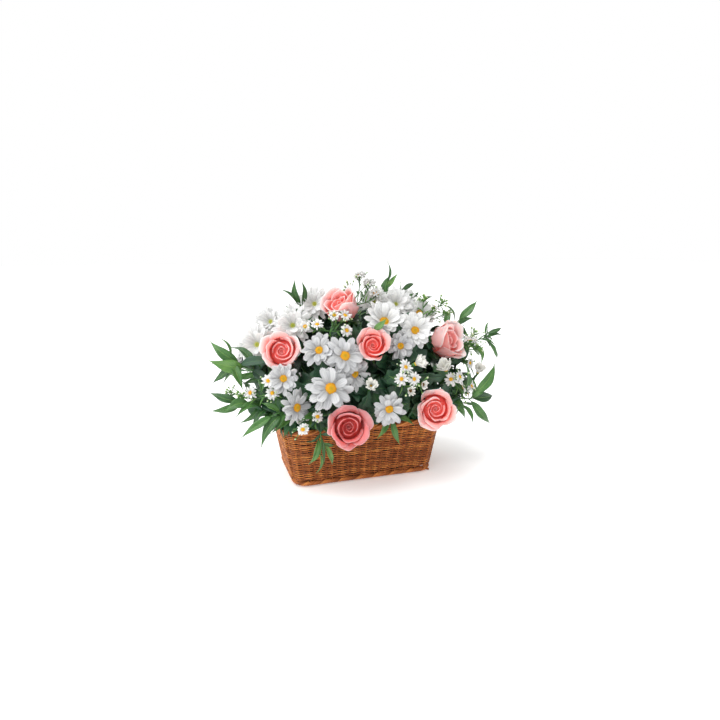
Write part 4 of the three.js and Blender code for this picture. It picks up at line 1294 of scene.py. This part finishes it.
def make_basket():
    weave_wall()
    foot = twisted_border(4.1, -3.2, strands=6, strand_radius=1.3, spread=2.5, turns=24, tuck=0.55)
    stub = bezier([(86.0, -54.0, 4.0), (91.0, -57.5, 3.4), (94.5, -59.5, 3.0)], 5)
    foot.tube(stub, 1.5, BORDER, 0.35, sides=8)
    foot.build("foot_border", "wicker_border", ["basket_foot"])
    rim = twisted_border(79.9, -1.9, strands=4, strand_radius=1.85, spread=2.2, turns=15)
    rim.build("rim_border", "wicker_border", ["basket_rim"])
    woven_floor()


def woven_floor():
    """Reeds along the basket's floor, woven over cross sticks."""
    floor = Shape()
    inset = WALL + FOOT_INSET + 0.6
    half_length, half_width = FOOT_PLAN[0] / 2 - inset, FOOT_PLAN[1] / 2 - inset
    corner = FOOT_PLAN[2] - 4

    def cut(beyond):
        """How much shorter a reed is, this far past where the floor's corner begins."""
        return corner - math.sqrt(max(corner**2 - max(beyond, 0) ** 2, 0))

    sticks = np.linspace(-half_length + 8, half_length - 8, 12)
    for x in sticks:
        reach = half_width - cut(abs(x) - (half_length - corner))
        floor.tube(bezier([(x, -reach, 2.0), (x, reach, 2.0)], 4), 1.0, REED, 0.3, sides=8)
    for k, y in enumerate(np.linspace(1.3 - half_width, half_width - 1.3, 44)):
        reach = half_length - cut(abs(y) - (half_width - corner))
        x = np.linspace(-reach, reach, 140)
        swing = np.cos(math.pi * ((x - sticks[0]) / (sticks[1] - sticks[0]) + k % 2))
        path = np.stack([x, 0 * x + y, 2.0 + 0.85 * swing], axis=1)
        floor.tube(path, 0.78 + 0.3 * np.abs(swing), REED, draw(0.2, 0.9), sides=6)
    floor.build("woven_floor", "wicker", ["basket_floor"])


def make_foam():
    """The soaked block, pitted and crumbled at its shoulders."""
    foam = Shape()
    side = -WALL - 2.7  # clear of the wall and the liner
    rings = [(9.6, side - 20), (9.7, side), (45, side), (80, side)]
    rings += [(92, side - 9), (99, side - 16), (101.5, side - 26)]
    share = np.arange(160) / 160
    rows = []
    for z, out in rings:
        points, normal = outline(min(z, 80.0), out, share)
        points[:, 2] = z
        rows.append(points + normal * draw(-0.5, 0.0, (160, 1)))
    lattice = np.array(rows)
    foam.barrel(lattice, lattice[[0, -1]].mean(axis=1), 0, 0, FOAM)
    foam.build("soaked_foam", "foam", ["floral_foam"])


make_basket()
make_foam()
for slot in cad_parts["liner"].material_slots:
    slot.material = FILM
for row in ROSES:
    make_rose(dict(zip(ROSE_KEYS, row)))
for row in DAISIES:
    make_daisy(*row)
for name, row in ASTERS.items():
    make_aster(name, *row)
for name, row in SPRIGS.items():
    make_sprig(name, *row)


# ---- The floor, the light and the camera ----
def aimed(at, towards):
    """A matrix whose -Z looks from at to towards, with +Y up."""
    rows = np.eye(4)
    rows[:3, :3] = basis(at - towards)
    rows[:3, 3] = at
    return Matrix(rows.tolist())


steps = np.linspace(-8000.0, 8000.0, 5)
x, y = np.meshgrid(steps, steps)
slab = Shape()
slab.sheet(np.stack([y, x, 0 * x - 1], axis=2), 1.0, FLOOR, 0.5)
ground = slab.mesh_object("floor", smooth_shading=False)

sun = bpy.data.lights.new("top", "SUN")
sun.energy, sun.angle = 2.3, math.radians(50)
put("top", sun).matrix_world = aimed(vec([-0.45, -0.08, 1.0]), np.zeros(3))
# Each soft light: its place, the point it faces, its diameter and its power
for name, at, towards, size, power in (
    ("key", (-1200, -1300, 1100), (0, 0, 120), 900, 7),
    ("side", (-1500, -520, 330), (0, 0, 80), 500, 3),
    ("back", (-300, 1300, 1500), (0, 0, 150), 1200, 9),
):
    lamp = bpy.data.lights.new(name, "AREA")
    lamp.shape = "DISK"
    lamp.size, lamp.energy = size * MM, power
    put(name, lamp).matrix_world = aimed(vec(at) * MM, vec(towards) * MM)

# A soft white world, which the camera sees as plain white
world = bpy.data.worlds.new("studio")
world.use_nodes = True
sky = world.node_tree
soft = sky.nodes["Background"]
plain = sky.nodes.new("ShaderNodeBackground")
for light, strength in ((soft, 0.60), (plain, 1.0)):
    light.inputs["Color"].default_value = (1, 1, 1, 1)
    light.inputs["Strength"].default_value = strength
either = sky.nodes.new("ShaderNodeMixShader")
seen = sky.nodes.new("ShaderNodeLightPath")
for k, source in enumerate((seen.outputs["Is Camera Ray"], soft.outputs[0], plain.outputs[0])):
    sky.links.new(source, either.inputs[k])
sky.links.new(either.outputs[0], sky.nodes["World Output"].inputs[0])
bpy.context.scene.world = world
bpy.context.scene.view_settings.view_transform = "Standard"

lens = bpy.data.cameras.new("camera")
lens.lens, lens.sensor_width, lens.sensor_fit = CAMERA_LENS, SENSOR, "HORIZONTAL"
lens.clip_start, lens.clip_end = 0.02, 40.0
eye = put("camera", lens)
way = facing((CAMERA_TURN, -CAMERA_DOWN)) * [1, -1, 1]
eye.matrix_world = aimed(vec(CAMERA_AT) * MM, vec(CAMERA_AT) * MM + way)
bpy.context.scene.camera = eye
